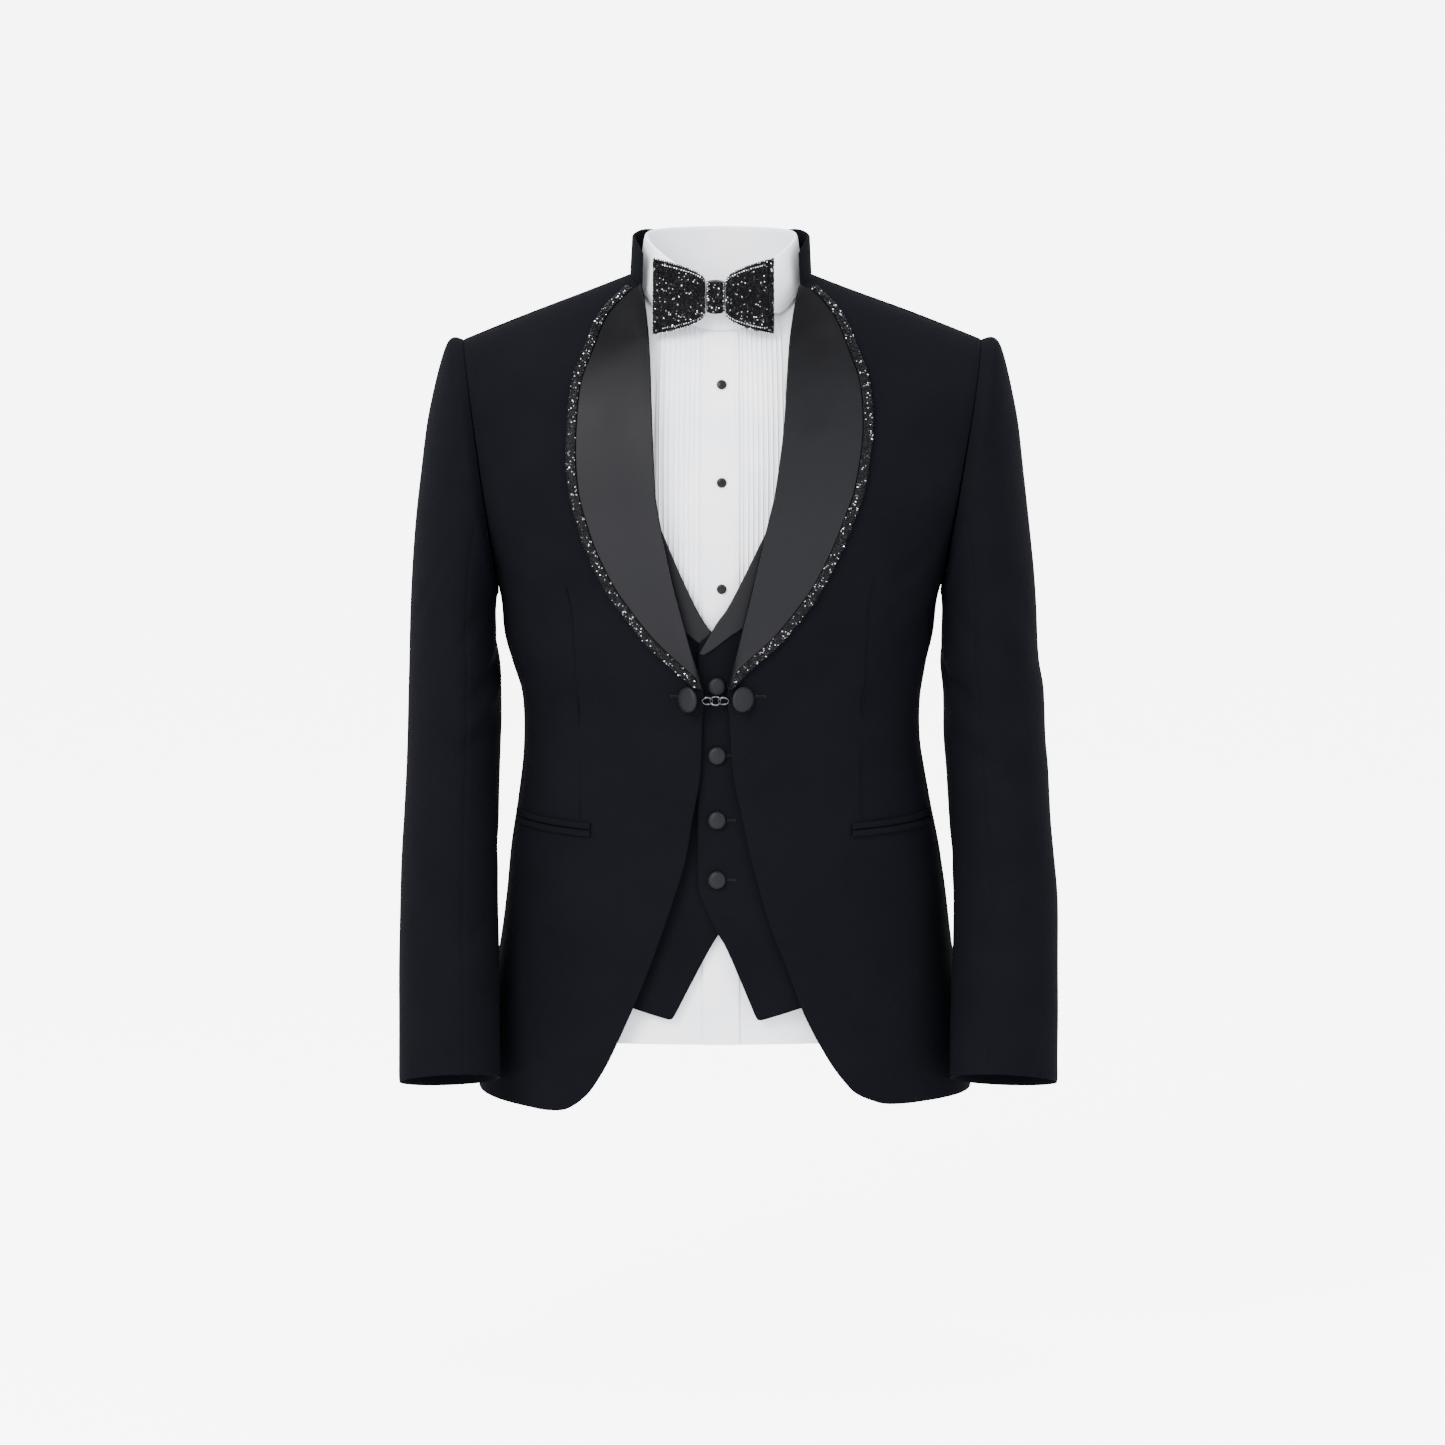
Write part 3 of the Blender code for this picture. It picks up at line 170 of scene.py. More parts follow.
def placeOf(x, z, back=False):
    # the (u, level) of the form's point at x and z
    ring = body["chestRing"]
    x, z = np.broadcast_arrays(np.asarray(x, float), np.asarray(z, float))
    share = np.clip((z + ring) / (shoulderLine(x) + ring), -1, 1)
    level = np.where(z > -ring, -ring * np.arccos(share) / (math.pi / 2), z)
    half = readColumn(formRows, "level", "half", level)
    sine = np.minimum(np.abs(x) / half, 1.0) ** (body["power"] / 2)
    u = np.arcsin(sine) / (math.pi / 2)
    u = np.where(back, 2 - u, u)
    return np.stack([np.copysign(u, x), level], axis=-1)


def armPlace(angle, inset=0.0):
    # the armhole seam: 0 at the shoulder, 90 at the front, 180 under the arm
    top, foot = -0.0457, -0.2650
    share = (1 - math.cos(math.radians(angle))) / 2
    z = top + (foot - inset * 0.6 - top) * share
    half = body["shoulderHalf"]
    x = half + (0.1905 - half) * share - inset * (1 - share) - inset * 0.3
    if angle in (0, 360):
        u, level = placeOf(x, shoulderLine(x))
        return (u if angle == 0 else 2 - u, level)
    if angle == 180:
        return (1.0, z)
    return tuple(placeOf(x, min(z, shoulderLine(x)), angle > 180))


def armLine(start, stop, inset=0.0, steps=48):
    return [armPlace(start + (stop - start) * k / steps, inset) for k in range(steps + 1)]


def sided(line, side):
    return [(side * abs(u), level) for u, level in line]


def smooth(points, steps=12):
    # a curve through the given points
    points = np.asarray(points, float)
    result = []
    for i in range(len(points) - 1):
        p0, p1 = points[max(i - 1, 0)], points[i]
        p2, p3 = points[i + 1], points[min(i + 2, len(points) - 1)]
        for k in range(steps):
            t = k / steps
            bent = (2 * p0 - 5 * p1 + 4 * p2 - p3) * t**2 + (3 * p1 - p0 - 3 * p2 + p3) * t**3
            result.append(0.5 * (2 * p1 + (p2 - p0) * t + bent))
    result.append(points[-1])
    return np.array(result)


def joined(*parts):
    # one line of (u, level) from several, each with its share of the rows
    total = sum(weight for _, weight in parts)
    shares, points, start = [], [], 0.0
    for line, weight in parts:
        line = np.asarray(line, float)
        steps = np.hypot(np.diff(line[:, 0]) * 0.19, np.diff(line[:, 1]))
        own = np.concatenate([[0.0], np.cumsum(steps)]) / steps.sum()
        skip = 1 if shares else 0
        shares.extend(start + own[skip:] * weight / total)
        points.extend(line[skip:])
        start += weight / total
    return np.array(shares), np.array(points)


def along(line, at):
    shares, points = line if isinstance(line, tuple) else joined((line, 1))
    return np.stack([np.interp(at, shares, points[:, k]) for k in (0, 1)], axis=-1)


def tableLine(rows, column, side):
    return smooth([placeOf(side * row[column], row["z"]) for row in rows])


def ownLine(rows, side, back=False):
    return smooth([placeOf(side * x, z, back) for x, z in rows])


def spaced(count, size):
    # shares with a close pair at each rim, so that a folded edge turns round
    rim = np.array([0.0, 0.0005, 0.0014]) / size
    return np.concatenate([rim, np.linspace(0, 1, count + 1)[1:-1], 1 - rim[::-1]])


def patch(bottom, top, inner, outer, across, up):
    # places between four lines
    s, t = across[None, :, None], up[:, None, None]
    low, high = along(bottom, across)[None], along(top, across)[None]
    first, last = along(inner, up)[:, None], along(outer, up)[:, None]
    mixed = (1 - t) * low + t * high + (1 - s) * first + s * last
    corners = (1 - s) * (1 - t) * low[:, :1] + s * (1 - t) * low[:, -1:]
    corners = corners + (1 - s) * t * high[:, :1] + s * t * high[:, -1:]
    return mixed - corners


def between(first, last, across, up):
    a, b = along(first, up)[:, None], along(last, up)[:, None]
    return a + (b - a) * across[None, :, None]


def pulledIn(points, gap):
    # the rim of a grid of points drawn in by half a seam gap
    points = points.copy()
    points[:, 0] += unit(points[:, 3] - points[:, 0]) * gap
    points[:, -1] += unit(points[:, -4] - points[:, -1]) * gap
    points[0] += unit(points[3] - points[0]) * gap
    points[-1] += unit(points[-4] - points[-1]) * gap
    return points


def creased(points, rows):
    # soft troughs and ridges along slightly bent lines, seen from the front
    total = np.zeros(points.shape[:-1])
    x, z = points[..., 0], points[..., 2]
    for row in rows:
        dx, dz = row["x1"] - row["x0"], row["z1"] - row["z0"]
        length = math.hypot(dx, dz)
        t = ((x - row["x0"]) * dx + (z - row["z0"]) * dz) / length**2
        off = ((z - row["z0"]) * dx - (x - row["x0"]) * dz) / length
        off = off - row["bow"] * 4 * t * (1 - t)
        fade = np.sin(math.pi * np.clip(t, 0, 1)) ** 0.8
        total += row["deep"] * fade * np.exp(-((off / row["wide"]) ** 2))
    return total


def uneven(points, size, high, turn=0.0):
    # the slow unevenness that steamed cloth keeps
    x, y, z = (points[..., k] / size * 2 * math.pi for k in range(3))
    waves = np.sin(x * 1.0 + z * 0.35 + turn) + 0.7 * np.sin(z * 0.62 - x * 0.4 + 2.1 * turn + 1.3)
    waves = waves + 0.5 * np.sin(y * 1.3 + z * 0.9 + 0.6 * turn)
    return waves * high / 2.2


def gridNormals(points, closed=False):
    if closed:
        across = np.roll(points, -1, axis=1) - np.roll(points, 1, axis=1)
    else:
        across = np.gradient(points, axis=1)
    return unit(np.cross(across, np.gradient(points, axis=0)))


def bandNormals(points):
    # the normals of a band round the neck, facing away from it
    normals = gridNormals(points)
    inward = np.einsum("ijk,ijk->", normals[..., :2], points[..., :2]) < 0
    return -normals if inward else normals


def objectOf(name, mesh):
    thing = bpy.data.objects.new(name, mesh)
    bpy.context.scene.collection.objects.link(thing)
    return thing


def addMesh(name, points, faces, material, uvs=None, sharp=40):
    mesh = bpy.data.meshes.new(name)
    mesh.from_pydata(drawnOut(points).tolist(), [], [list(face) for face in faces])
    if uvs is not None:
        layer = mesh.uv_layers.new(name="cloth")
        index = np.empty(len(mesh.loops), np.int32)
        mesh.loops.foreach_get("vertex_index", index)
        layer.data.foreach_set("uv", np.asarray(uvs, np.float32)[index].ravel())
    mesh.materials.append(material)
    mesh.shade_smooth()
    mesh.set_sharp_from_angle(angle=math.radians(sharp))
    mesh.update()
    return objectOf(name, mesh)


def signedVolume(points, faces):
    a = points[faces[:, 0]]
    total = 0.0
    for k in range(1, faces.shape[1] - 1):
        total += np.einsum("ij,ij->", a, np.cross(points[faces[:, k]], points[faces[:, k + 1]]))
    return total


def gridFaces(index):
    corners = index[:-1, :-1], index[:-1, 1:], index[1:, 1:], index[1:, :-1]
    return np.stack(corners, axis=-1).reshape(-1, 4)


def skinOf(name, front, back, material, uvs, sharp=40):
    # a closed skin over two grids of points, joined round their rim
    count = front.shape[0] * front.shape[1]
    index = np.arange(count).reshape(front.shape[:2])
    rim = np.concatenate([index[0], index[1:, -1], index[-1, -2::-1], index[-2::-1, 0]])
    rim = np.stack([rim[1:], rim[:-1], rim[:-1] + count, rim[1:] + count], axis=-1)
    faces = np.concatenate([gridFaces(index), gridFaces(index)[:, ::-1] + count, rim])
    points = np.concatenate([front.reshape(-1, 3), back.reshape(-1, 3)])
    if signedVolume(points, faces) < 0:
        faces = faces[:, ::-1]
    return addMesh(name, points, faces, material, np.concatenate([uvs, uvs]), sharp)


def wallOf(name, middle, normals, wall, material):
    # a cloth wall about a grid of points, with turned edges
    rows, columns = middle.shape[:2]
    thick = np.full((rows, columns), wall / 2)
    for ring, share in ((1, 0.86), (0, 0.35)):
        thick[[ring, -1 - ring], :] = wall / 2 * share
        thick[ring:rows - ring, [ring, -1 - ring]] = wall / 2 * share
    away = normals * thick[..., None]
    across = np.cumsum(np.linalg.norm(np.diff(middle, axis=1), axis=-1), axis=1)
    across = np.concatenate([np.zeros((rows, 1)), across], axis=1)
    up = np.cumsum(np.linalg.norm(np.diff(middle, axis=0), axis=-1), axis=0)
    up = np.concatenate([np.zeros((1, columns)), up], axis=0)
    uvs = np.stack([across - across.mean(axis=1, keepdims=True), up], axis=-1).reshape(-1, 2)
    return skinOf(name, middle + away, middle - away, material, uvs)


def keep(thing, nodes=()):
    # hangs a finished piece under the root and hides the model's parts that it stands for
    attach(thing, "root")
    if nodes:
        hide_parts(*nodes)
    return thing


def onForm(grid, lift, relief=None, gap=body["seamGap"]):
    # the middle of a cloth wall on the form, and its normals; relief is a function of the points
    u, level = grid[..., 0], grid[..., 1]
    base, normals = formPoints(u, level), formNormals(u, level)
    rise = lift + (relief(base) if relief else 0.0)
    return pulledIn(base + normals * np.broadcast_to(rise, u.shape)[..., None], gap), normals


def wallPiece(name, node, middle, normals, wall, slot, held, restsOn):
    piece = wallOf(name, middle, normals, wall, cloths[slot])
    keep(piece, [node])


def clothPiece(name, node, grid, lift, wall, slot, held, restsOn, relief=None, gap=body["seamGap"]):
    wallPiece(name, node, *onForm(grid, lift, relief, gap), wall, slot, held, restsOn)


sides = ((1, "left", "Left"), (-1, "right", "Right"))


# Materials. Each starts from the real stuff; one function adds a node with settings and links.
def hexColour(text):
    parts = [int(text[k:k + 2], 16) / 255 for k in (1, 3, 5)]
    return tuple(c / 12.92 if c <= 0.04045 else ((c + 0.055) / 1.055) ** 2.4 for c in parts) + (1.0,)


def addNode(tree, kind, settings=None, links=None):
    node = tree.nodes.new(kind)
    for name, value in (settings or {}).items():
        if isinstance(name, int) or name in node.inputs:
            node.inputs[name].default_value = value
        else:
            setattr(node, name, value)
    for name, source in (links or {}).items():
        tree.links.new(source, node.inputs[name])
    return node


def newMaterial(name, settings):
    material = bpy.data.materials.new(name)
    material.use_nodes = True
    tree = material.node_tree
    shader = tree.nodes["Principled BSDF"]
    for socket, value in settings.items():
        shader.inputs[socket].default_value = value
    return material, tree, shader


def noiseOf(tree, place, scale, detail, space="Object"):
    settings = {"Scale": scale, "Detail": detail}
    return addNode(tree, "ShaderNodeTexNoise", settings, {"Vector": place.outputs[space]}).outputs["Fac"]


def linesOf(tree, vector, apart, settings):
    # a wave texture whose lines are this far apart
    settings = {"Scale": math.pi / 10 / apart, **settings}
    return addNode(tree, "ShaderNodeTexWave", settings, {"Vector": vector}).outputs["Fac"]


def addedUp(tree, main, other, share):
    links = {0: other, 2: main}
    return addNode(tree, "ShaderNodeMath", {"operation": "MULTIPLY_ADD", 1: share}, links).outputs[0]


def colourFrom(tree, shader, source, stops):
    ramp = addNode(tree, "ShaderNodeValToRGB", links={"Fac": source})
    for element, (position, colour) in zip(ramp.color_ramp.elements, stops):
        element.position, element.color = position, hexColour(colour)
    tree.links.new(ramp.outputs["Color"], shader.inputs["Base Color"])


def bumpFrom(tree, shader, height, strength, distance):
    settings = {"Strength": strength, "Distance": distance}
    bump = addNode(tree, "ShaderNodeBump", settings, {"Height": height})
    tree.links.new(bump.outputs["Normal"], shader.inputs["Normal"])


worsted = {
    "dark": "#0A0B0F",
    "light": "#0C0D11",
    "twill": 0.0011,      # real twill lines are 0.5 mm apart, drawn twice as coarse to show
    "slope": 58,
    "thread": 0.0014,
    "mottle": 0.045,
    "relief": 0.00012,
}


def makeWorsted():
    # fine wool worsted, woven in a steep twill and pressed: matt, with a soft nap at the edges
    material, tree, shader = newMaterial("woolWorsted", {
        "Roughness": 0.86, "IOR": 1.45, "Specular IOR Level": 0.02,
        "Sheen Weight": 0.008, "Sheen Roughness": 0.45, "Sheen Tint": hexColour("#5A6478"),
    })
    place = addNode(tree, "ShaderNodeTexCoord")
    turned = addNode(tree, "ShaderNodeMapping", {"Rotation": (0, 0, math.radians(worsted["slope"]))},
                     {"Vector": place.outputs["UV"]})
    twill = linesOf(tree, turned.outputs["Vector"], worsted["twill"],
                    {"Distortion": 0.7, "Detail": 1.0, "Detail Scale": 3.0})
    nap = noiseOf(tree, place, 1 / worsted["thread"], 4.0, "UV")
    mottle = noiseOf(tree, place, 1 / worsted["mottle"], 5.0)
    colourFrom(tree, shader, addedUp(tree, mottle, nap, 0.35),
               [(0.45, worsted["dark"]), (0.90, worsted["light"])])
    bumpFrom(tree, shader, addedUp(tree, twill, nap, 0.6), 0.5, worsted["relief"])
    return material


satinCloth = {
    "dark": "#050506",
    "light": "#151518",
    "float": 0.0009,      # satin floats are 0.2 mm apart, drawn coarser so that they catch light
    # painted shade and sheen: the size of the soft patches where the colour is lighter or darker, as
    # sagging satin would catch light
    "paintedSagShade": 0.030,
    "paintedShadeHeights": (0.02, -0.20),    # painted shade: over these heights the colour passes from its dark at the top to its light lower down
    "gloss": (0.02, 0.12),   # specular level at the painted-shade end and at the painted-light end
    "relief": 0.00006,
}


def makeSatin():
    # black duchess satin, long smooth floats along the length: a broad soft sheen across them; its colour
    # holds painted shade, darker towards the top, and painted patches of shade and sheen
    material, tree, shader = newMaterial("blackSatin", {
        "Roughness": 0.46, "IOR": 1.50,
        "Anisotropic": 0.55, "Anisotropic Rotation": 0.25,
        "Sheen Weight": 0.03, "Sheen Roughness": 0.3, "Sheen Tint": hexColour("#8A8A92"),
    })
    place = addNode(tree, "ShaderNodeTexCoord")
    floats = linesOf(tree, place.outputs["UV"], satinCloth["float"],
                     {"Distortion": 1.5, "Detail": 2.0, "Detail Scale": 2.0})
    paintedSagShade = noiseOf(tree, place, 1 / satinCloth["paintedSagShade"], 2.0)
    # painted shade: the colour and the specular level follow the height, darker at the top
    height = addNode(tree, "ShaderNodeSeparateXYZ", links={"Vector": place.outputs["Object"]})
    lit = addNode(tree, "ShaderNodeMapRange", {
        "From Min": satinCloth["paintedShadeHeights"][0], "From Max": satinCloth["paintedShadeHeights"][1],
    }, {"Value": height.outputs["Z"]}).outputs["Result"]
    gloss = addNode(tree, "ShaderNodeMapRange", {
        "To Min": satinCloth["gloss"][0], "To Max": satinCloth["gloss"][1],
    }, {"Value": lit})
    tree.links.new(gloss.outputs["Result"], shader.inputs["Specular IOR Level"])
    # the colour is painted shade: the height ramp plus the painted patches of shade and sheen
    colourFrom(tree, shader, addedUp(tree, lit, paintedSagShade, 0.35),
               [(0.20, satinCloth["dark"]), (1.10 / 1.35, satinCloth["light"])])
    bumpFrom(tree, shader, floats, 0.25, satinCloth["relief"])
    return material


poplin = {
    "shade": "#E9ECF3",
    "light": "#F6F7FB",
    "thread": 0.0008,     # poplin threads are 0.25 mm apart, drawn coarser so that they show
    "relief": 0.00005,
}


def makePoplin():
    # white cotton poplin, plain woven and ironed: matt and even
    material, tree, shader = newMaterial("cottonPoplin", {
        "Roughness": 0.72, "IOR": 1.46, "Specular IOR Level": 0.30,
        "Sheen Weight": 0.10, "Sheen Roughness": 0.5,
    })
    place = addNode(tree, "ShaderNodeTexCoord")
    warp, weft = (
        linesOf(tree, place.outputs["UV"], poplin["thread"], {"Distortion": 0.6, "bands_direction": way})
        for way in "XY"
    )
    woven = addNode(tree, "ShaderNodeMath", {"operation": "MULTIPLY"}, {0: warp, 1: weft})
    cloud = noiseOf(tree, place, 22.0, 3.0)
    colourFrom(tree, shader, cloud, [(0.30, poplin["shade"]), (0.62, poplin["light"])])
    bumpFrom(tree, shader, woven.outputs[0], 0.3, poplin["relief"])
    return material


def makeSpeckled(name, settings, scale, detail, stops):
    # glass, enamel or metal whose colour varies a little from spot to spot
    material, tree, shader = newMaterial(name, settings)
    speck = noiseOf(tree, addNode(tree, "ShaderNodeTexCoord"), scale, detail)
    colourFrom(tree, shader, speck, stops)
    return material, tree, shader, speck


def makeGlassBead(name, dark, light, roughness, metallic):
    # pressed glass beads, lined or jet: small bright facets, each a little unlike the next
    return makeSpeckled(name, {
        "Roughness": roughness, "IOR": 1.52, "Metallic": metallic, "Specular IOR Level": 0.12,
        "Coat Weight": 0.04, "Coat Roughness": 0.05,
    }, 600.0, 0.0, [(0.38, dark), (0.62, light)])[0]


def makeEnamel():
    # fired black enamel in a thin metal cup: deep, glossy, with faint orange peel
    material, tree, shader, peel = makeSpeckled("blackEnamel", {
        "Roughness": 0.30, "IOR": 1.50, "Specular IOR Level": 0.15,
        "Coat Weight": 0.10, "Coat Roughness": 0.08,
    }, 900.0, 1.0, [(0.3, "#08080A"), (0.7, "#0E0E11")])
    bumpFrom(tree, shader, peel, 0.12, 0.00003)
    return material


def makeGunmetal():
    # polished gunmetal wire: dark grey metal with fine drawing lines and rubbed edges
    return makeSpeckled("gunmetalWire", {"Metallic": 1.0, "Roughness": 0.22}, 700.0, 2.0,
                        [(0.3, "#3C3D42"), (0.7, "#707278")])[0]


wool = makeWorsted()
satin = makeSatin()
cotton = makePoplin()
cloths = {"wool": wool, "satin": satin, "cotton": cotton}
jetBead = makeGlassBead("jetBead", "#040405", "#121214", 0.14, 0.0)
silverBead = makeGlassBead("silverLinedBead", "#4A4D56", "#E4E6EC", 0.10, 0.85)
enamel = makeEnamel()
gunmetal = makeGunmetal()
print("materials made")


# Jacket: front edge from the collar seam down over the link to the cutaway, hem and lapel edge.
frontEdge = table("z right left", [
    (0.003, 0.0675, 0.0668),
    (-0.040, 0.0615, 0.0585),
    (-0.112, 0.0585, 0.0535),
    (-0.180, 0.0543, 0.0432),
    (-0.240, 0.0421, 0.0290),
    (-0.290, 0.0290, 0.0170),
    (-0.337, 0.0155, 0.0060),
    (-0.366, 0.0163, 0.0077),
    (-0.413, 0.0181, 0.0108),
    (-0.451, 0.0249, 0.0190),
    (-0.490, 0.0318, 0.0275),
    (-0.541, 0.0480, 0.0420),
    (-0.583, 0.0628, 0.0580),
    (-0.625, 0.0800, 0.0735),
    (-0.6632, 0.0972, 0.0937),
    (-0.6864, 0.1109, 0.1109),
])
hemEdge = table("x right left", [
    (0.1195, -0.6964, -0.6938),
    (0.1290, -0.7038, -0.6987),
    (0.1385, -0.7077, -0.7021),
    (0.1540, -0.7084, -0.7028),
    (0.1720, -0.7064, -0.7022),
])
lapelEdge = table("z right left", [
    (0.001, 0.0805, 0.0815),
    (-0.020, 0.1033, 0.1030),
    (-0.048, 0.1166, 0.1165),
    (-0.075, 0.1272, 0.1260),
    (-0.112, 0.1311, 0.1287),
    (-0.148, 0.1312, 0.1250),
    (-0.190, 0.1235, 0.1131),
    (-0.223, 0.1119, 0.0995),
    (-0.256, 0.0949, 0.0820),
    (-0.292, 0.0680, 0.0545),
    (-0.318, 0.0420, 0.0265),
    (-0.334, 0.0245, 0.0115),
])
jacket = {
    "wall": 0.0019,
    "sideHem": -0.7005,
    "frontHem": 0.93,
    "frontSeam": 150,
    "backSeam": 235,
    "collarReach": 118,
    "collarHeight": 0.0410,
    "collarGap": 0.0008,
    "collarWall": 0.0022,
    "collarFall": (52, 40, 0.18),    # its edge falls from here, over this turn, by this share
    "collarEnd": (88, 0.12),         # and further by this share from here to its ends
    "collarLean": 0.02,
}
backHem = [(1.30, -0.6950), (1.45, -0.6870), (1.72, -0.6742), (2.00, -0.6722)]
# Creases by x and z: where each starts and ends, how wide, deep and bent it is.
jacketCreases = table("x0 z0 x1 z1 wide deep bow", [
    (0.196, -0.196, 0.128, -0.262, 0.0075, -0.0016, 0.006),
    (0.200, -0.225, 0.140, -0.300, 0.0070, 0.0013, 0.009),
    (0.186, -0.262, 0.120, -0.352, 0.0100, -0.0013, 0.010),
    (0.172, -0.345, 0.060, -0.352, 0.0110, -0.0012, 0.006),
    (0.165, -0.385, 0.040, -0.362, 0.0140, 0.0010, -0.004),
    (0.150, -0.480, 0.120, -0.660, 0.0200, -0.0012, 0.006),
    (0.070, -0.500, 0.100, -0.640, 0.0160, 0.0010, 0.004),
    (-0.192, -0.205, -0.130, -0.250, 0.0080, -0.0013, -0.006),
    (-0.190, -0.240, -0.142, -0.318, 0.0085, 0.0011, -0.008),
    (-0.170, -0.350, -0.050, -0.358, 0.0120, -0.0012, -0.005),
    (-0.160, -0.400, -0.060, -0.372, 0.0130, 0.0009, 0.004),
    (-0.155, -0.490, -0.130, -0.670, 0.0180, -0.0011, -0.006),
])
backCreases = table("x0 z0 x1 z1 wide deep bow", [
    (0.190, -0.190, 0.120, -0.290, 0.0090, -0.0018, 0.010),
    (0.170, -0.175, 0.095, -0.250, 0.0110, 0.0013, 0.008),
    (-0.190, -0.200, -0.125, -0.280, 0.0095, -0.0017, -0.010),
    (-0.165, -0.170, -0.100, -0.262, 0.0100, 0.0013, -0.007),
    (-0.150, -0.340, 0.140, -0.352, 0.0130, -0.0016, -0.010),
    (-0.120, -0.372, 0.150, -0.385, 0.0120, 0.0012, -0.008),
    (-0.090, -0.055, 0.095, -0.060, 0.0100, -0.0010, 0.012),
    (0.120, -0.460, 0.130, -0.680, 0.0190, 0.0014, 0.006),
    (-0.110, -0.450, -0.135, -0.685, 0.0170, 0.0013, -0.006),
])


def frontRelief(points):
    return creased(points, jacketCreases) + uneven(points, 0.16, 0.0006)


def backRelief(points):
    return creased(points, backCreases) + uneven(points, 0.18, 0.0008, 1.7)


def neckBand(turn, high, ring, grow=0.0):
    # a ring round the neck: 0 at the back, 90 at the wearer's left, 180 at the front
    angle = math.radians(turn)
    deep = ring["back"] if math.cos(angle) > 0 else ring["front"]
    return np.array([(ring["x"] + grow) * math.sin(angle), (deep + grow) * math.cos(angle), high])


def neckOnForm(turn, ring, lift):
    # where the ring, seen from above, meets the form moved out by lift
    target = neckBand(turn, 0.0, ring)
    guess = target.copy()
    for _ in range(8):
        across = abs(guess[0]) / formRows[-1]["half"]
        reach = body["neckDepth"] * (1 - across ** body["power"]) ** (1 / body["power"])
        share = math.sqrt(1 - min(abs(guess[1]) / reach, 0.99) ** 2)
        z = share * (shoulderLine(guess[0]) + body["chestRing"]) - body["chestRing"]
        place = placeOf(guess[0], z, guess[1] > 0)
        point = lifted(place[0], place[1], np.asarray(lift, float))
        guess[:2] += target[:2] - point[:2]
    return place, point


def neckLine(ring, lift, level):
    # half the neck's edge, from the shoulder seam to the centre back
    line = []
    for turn in range(90, -1, -6):
        place = neckOnForm(turn, ring, lift)[0]
        line.append((abs(float(place[0])), float(place[1])))
    line[0] = (max(line[0][0], 2 - line[0][0]), level)
    line[-1] = (2.0, line[-1][1])
    return line


def mirrored(line):
    # the same line on the other half of the back
    line = np.asarray(line, float)
    return np.stack([4 - line[:, 0], line[:, 1]], axis=-1)


neckSeam = {"x": body["neckX"], "back": body["neckBack"], "front": body["neckFront"]}
frontSeam, backSeam = armPlace(jacket["frontSeam"]), armPlace(jacket["backSeam"])
shoulderEnds = [float(placeOf(x, shoulderLine(x))[0]) for x in (body["neckX"], body["shoulderHalf"])]

for side, name, big in sides:
    low = (side * jacket["frontHem"], jacket["sideHem"])
    sideTop = (side * frontSeam[0], frontSeam[1])
    sideLine = smooth([low, (side * 0.92, -0.55), (side * 0.905, -0.35), sideTop])
    edge = [placeOf(side * row[name], row["z"]) for row in frontEdge]
    edge = smooth([*edge, *(placeOf(side * row["x"], row[name]) for row in hemEdge), low])
    corner = (len(frontEdge) - 1) * 12
    hem = edge[corner:]
    top = [(side * u, -0.0002) for u in shoulderEnds]
    inner = np.concatenate([edge[:corner + 1][::-1], [top[0]]])
    outer = joined((sideLine, 11), (sided(armLine(jacket["frontSeam"], 0), side), 8))
    grid = patch(hem, top, inner, outer, spaced(56, 0.16), spaced(130, 0.72))
    clothPiece(f"jacketFront{big}", f"jacket_front_{name}", grid, 0.0, jacket["wall"], "wool", "draped",
               [f"waistcoat_front_{name}"], frontRelief)

    lowBack = smooth([(side * u, level) for u, level in backHem])
    bottom = [low, lowBack[0]]
    top = sided(armLine(jacket["frontSeam"], jacket["backSeam"]), side)
    backFoot, backTop = bottom[1], (side * backSeam[0], backSeam[1])
    backLine = smooth([backFoot, (side * 1.24, -0.45), backTop])
    grid = patch(bottom, top, sideLine, backLine, spaced(20, 0.06), spaced(84, 0.43))
    clothPiece(f"jacketSide{big}", f"jacket_side_{name}", grid, 0.0, jacket["wall"], "wool", "draped",
               [f"jacket_front_{name}"], lambda points: uneven(points, 0.15, 0.0006, 0.8))

    neck = sided(neckLine(neckSeam, 0.0, -0.0002), side)
    top = joined(([(side * (2 - shoulderEnds[1]), -0.0002), neck[0]], 4), (neck, 6))
    inner = joined((backLine, 11), (sided(armLine(jacket["backSeam"], 360), side), 8))
    centre = [lowBack[-1], neck[-1]]
    grid = patch(lowBack, top, inner, centre, spaced(56, 0.16), spaced(130, 0.74))
    clothPiece(f"jacketBack{big}", f"jacket_back_{name}", grid, 0.0, jacket["wall"], "wool", "draped",
               [f"jacket_front_{name}"], backRelief)
print("jacket body made")

# Sleeves: rings from the shoulder down, each leaning forward, with the creases of a worn arm.
sleeveRows = table("outX outZ inX inZ fore deep drop", [
    (0.2378, -0.049, 0.195, -0.268, 0, 0.079, 0),
    (0.2483, -0.083, 0.196, -0.275, 0, 0.08, 0),
    (0.2573, -0.140, 0.196, -0.285, 0, 0.079, 0),
    (0.2655, -0.205, 0.196, -0.300, 0, 0.076, 0),
    (0.273, -0.280, 0.193, -0.325, 0.002, 0.071, 0.002),
    (0.275, -0.355, 0.192, -0.370, 0.006, 0.066, 0.006),
    (0.276, -0.430, 0.193, -0.430, 0.014, 0.062, 0.012),
    (0.2797, -0.510, 0.194, -0.510, 0.03, 0.058, 0.02),
    (0.281, -0.600, 0.193, -0.600, 0.052, 0.054, 0.024),
    (0.281, -0.684, 0.192, -0.680, 0.074, 0.051, 0.025),
])
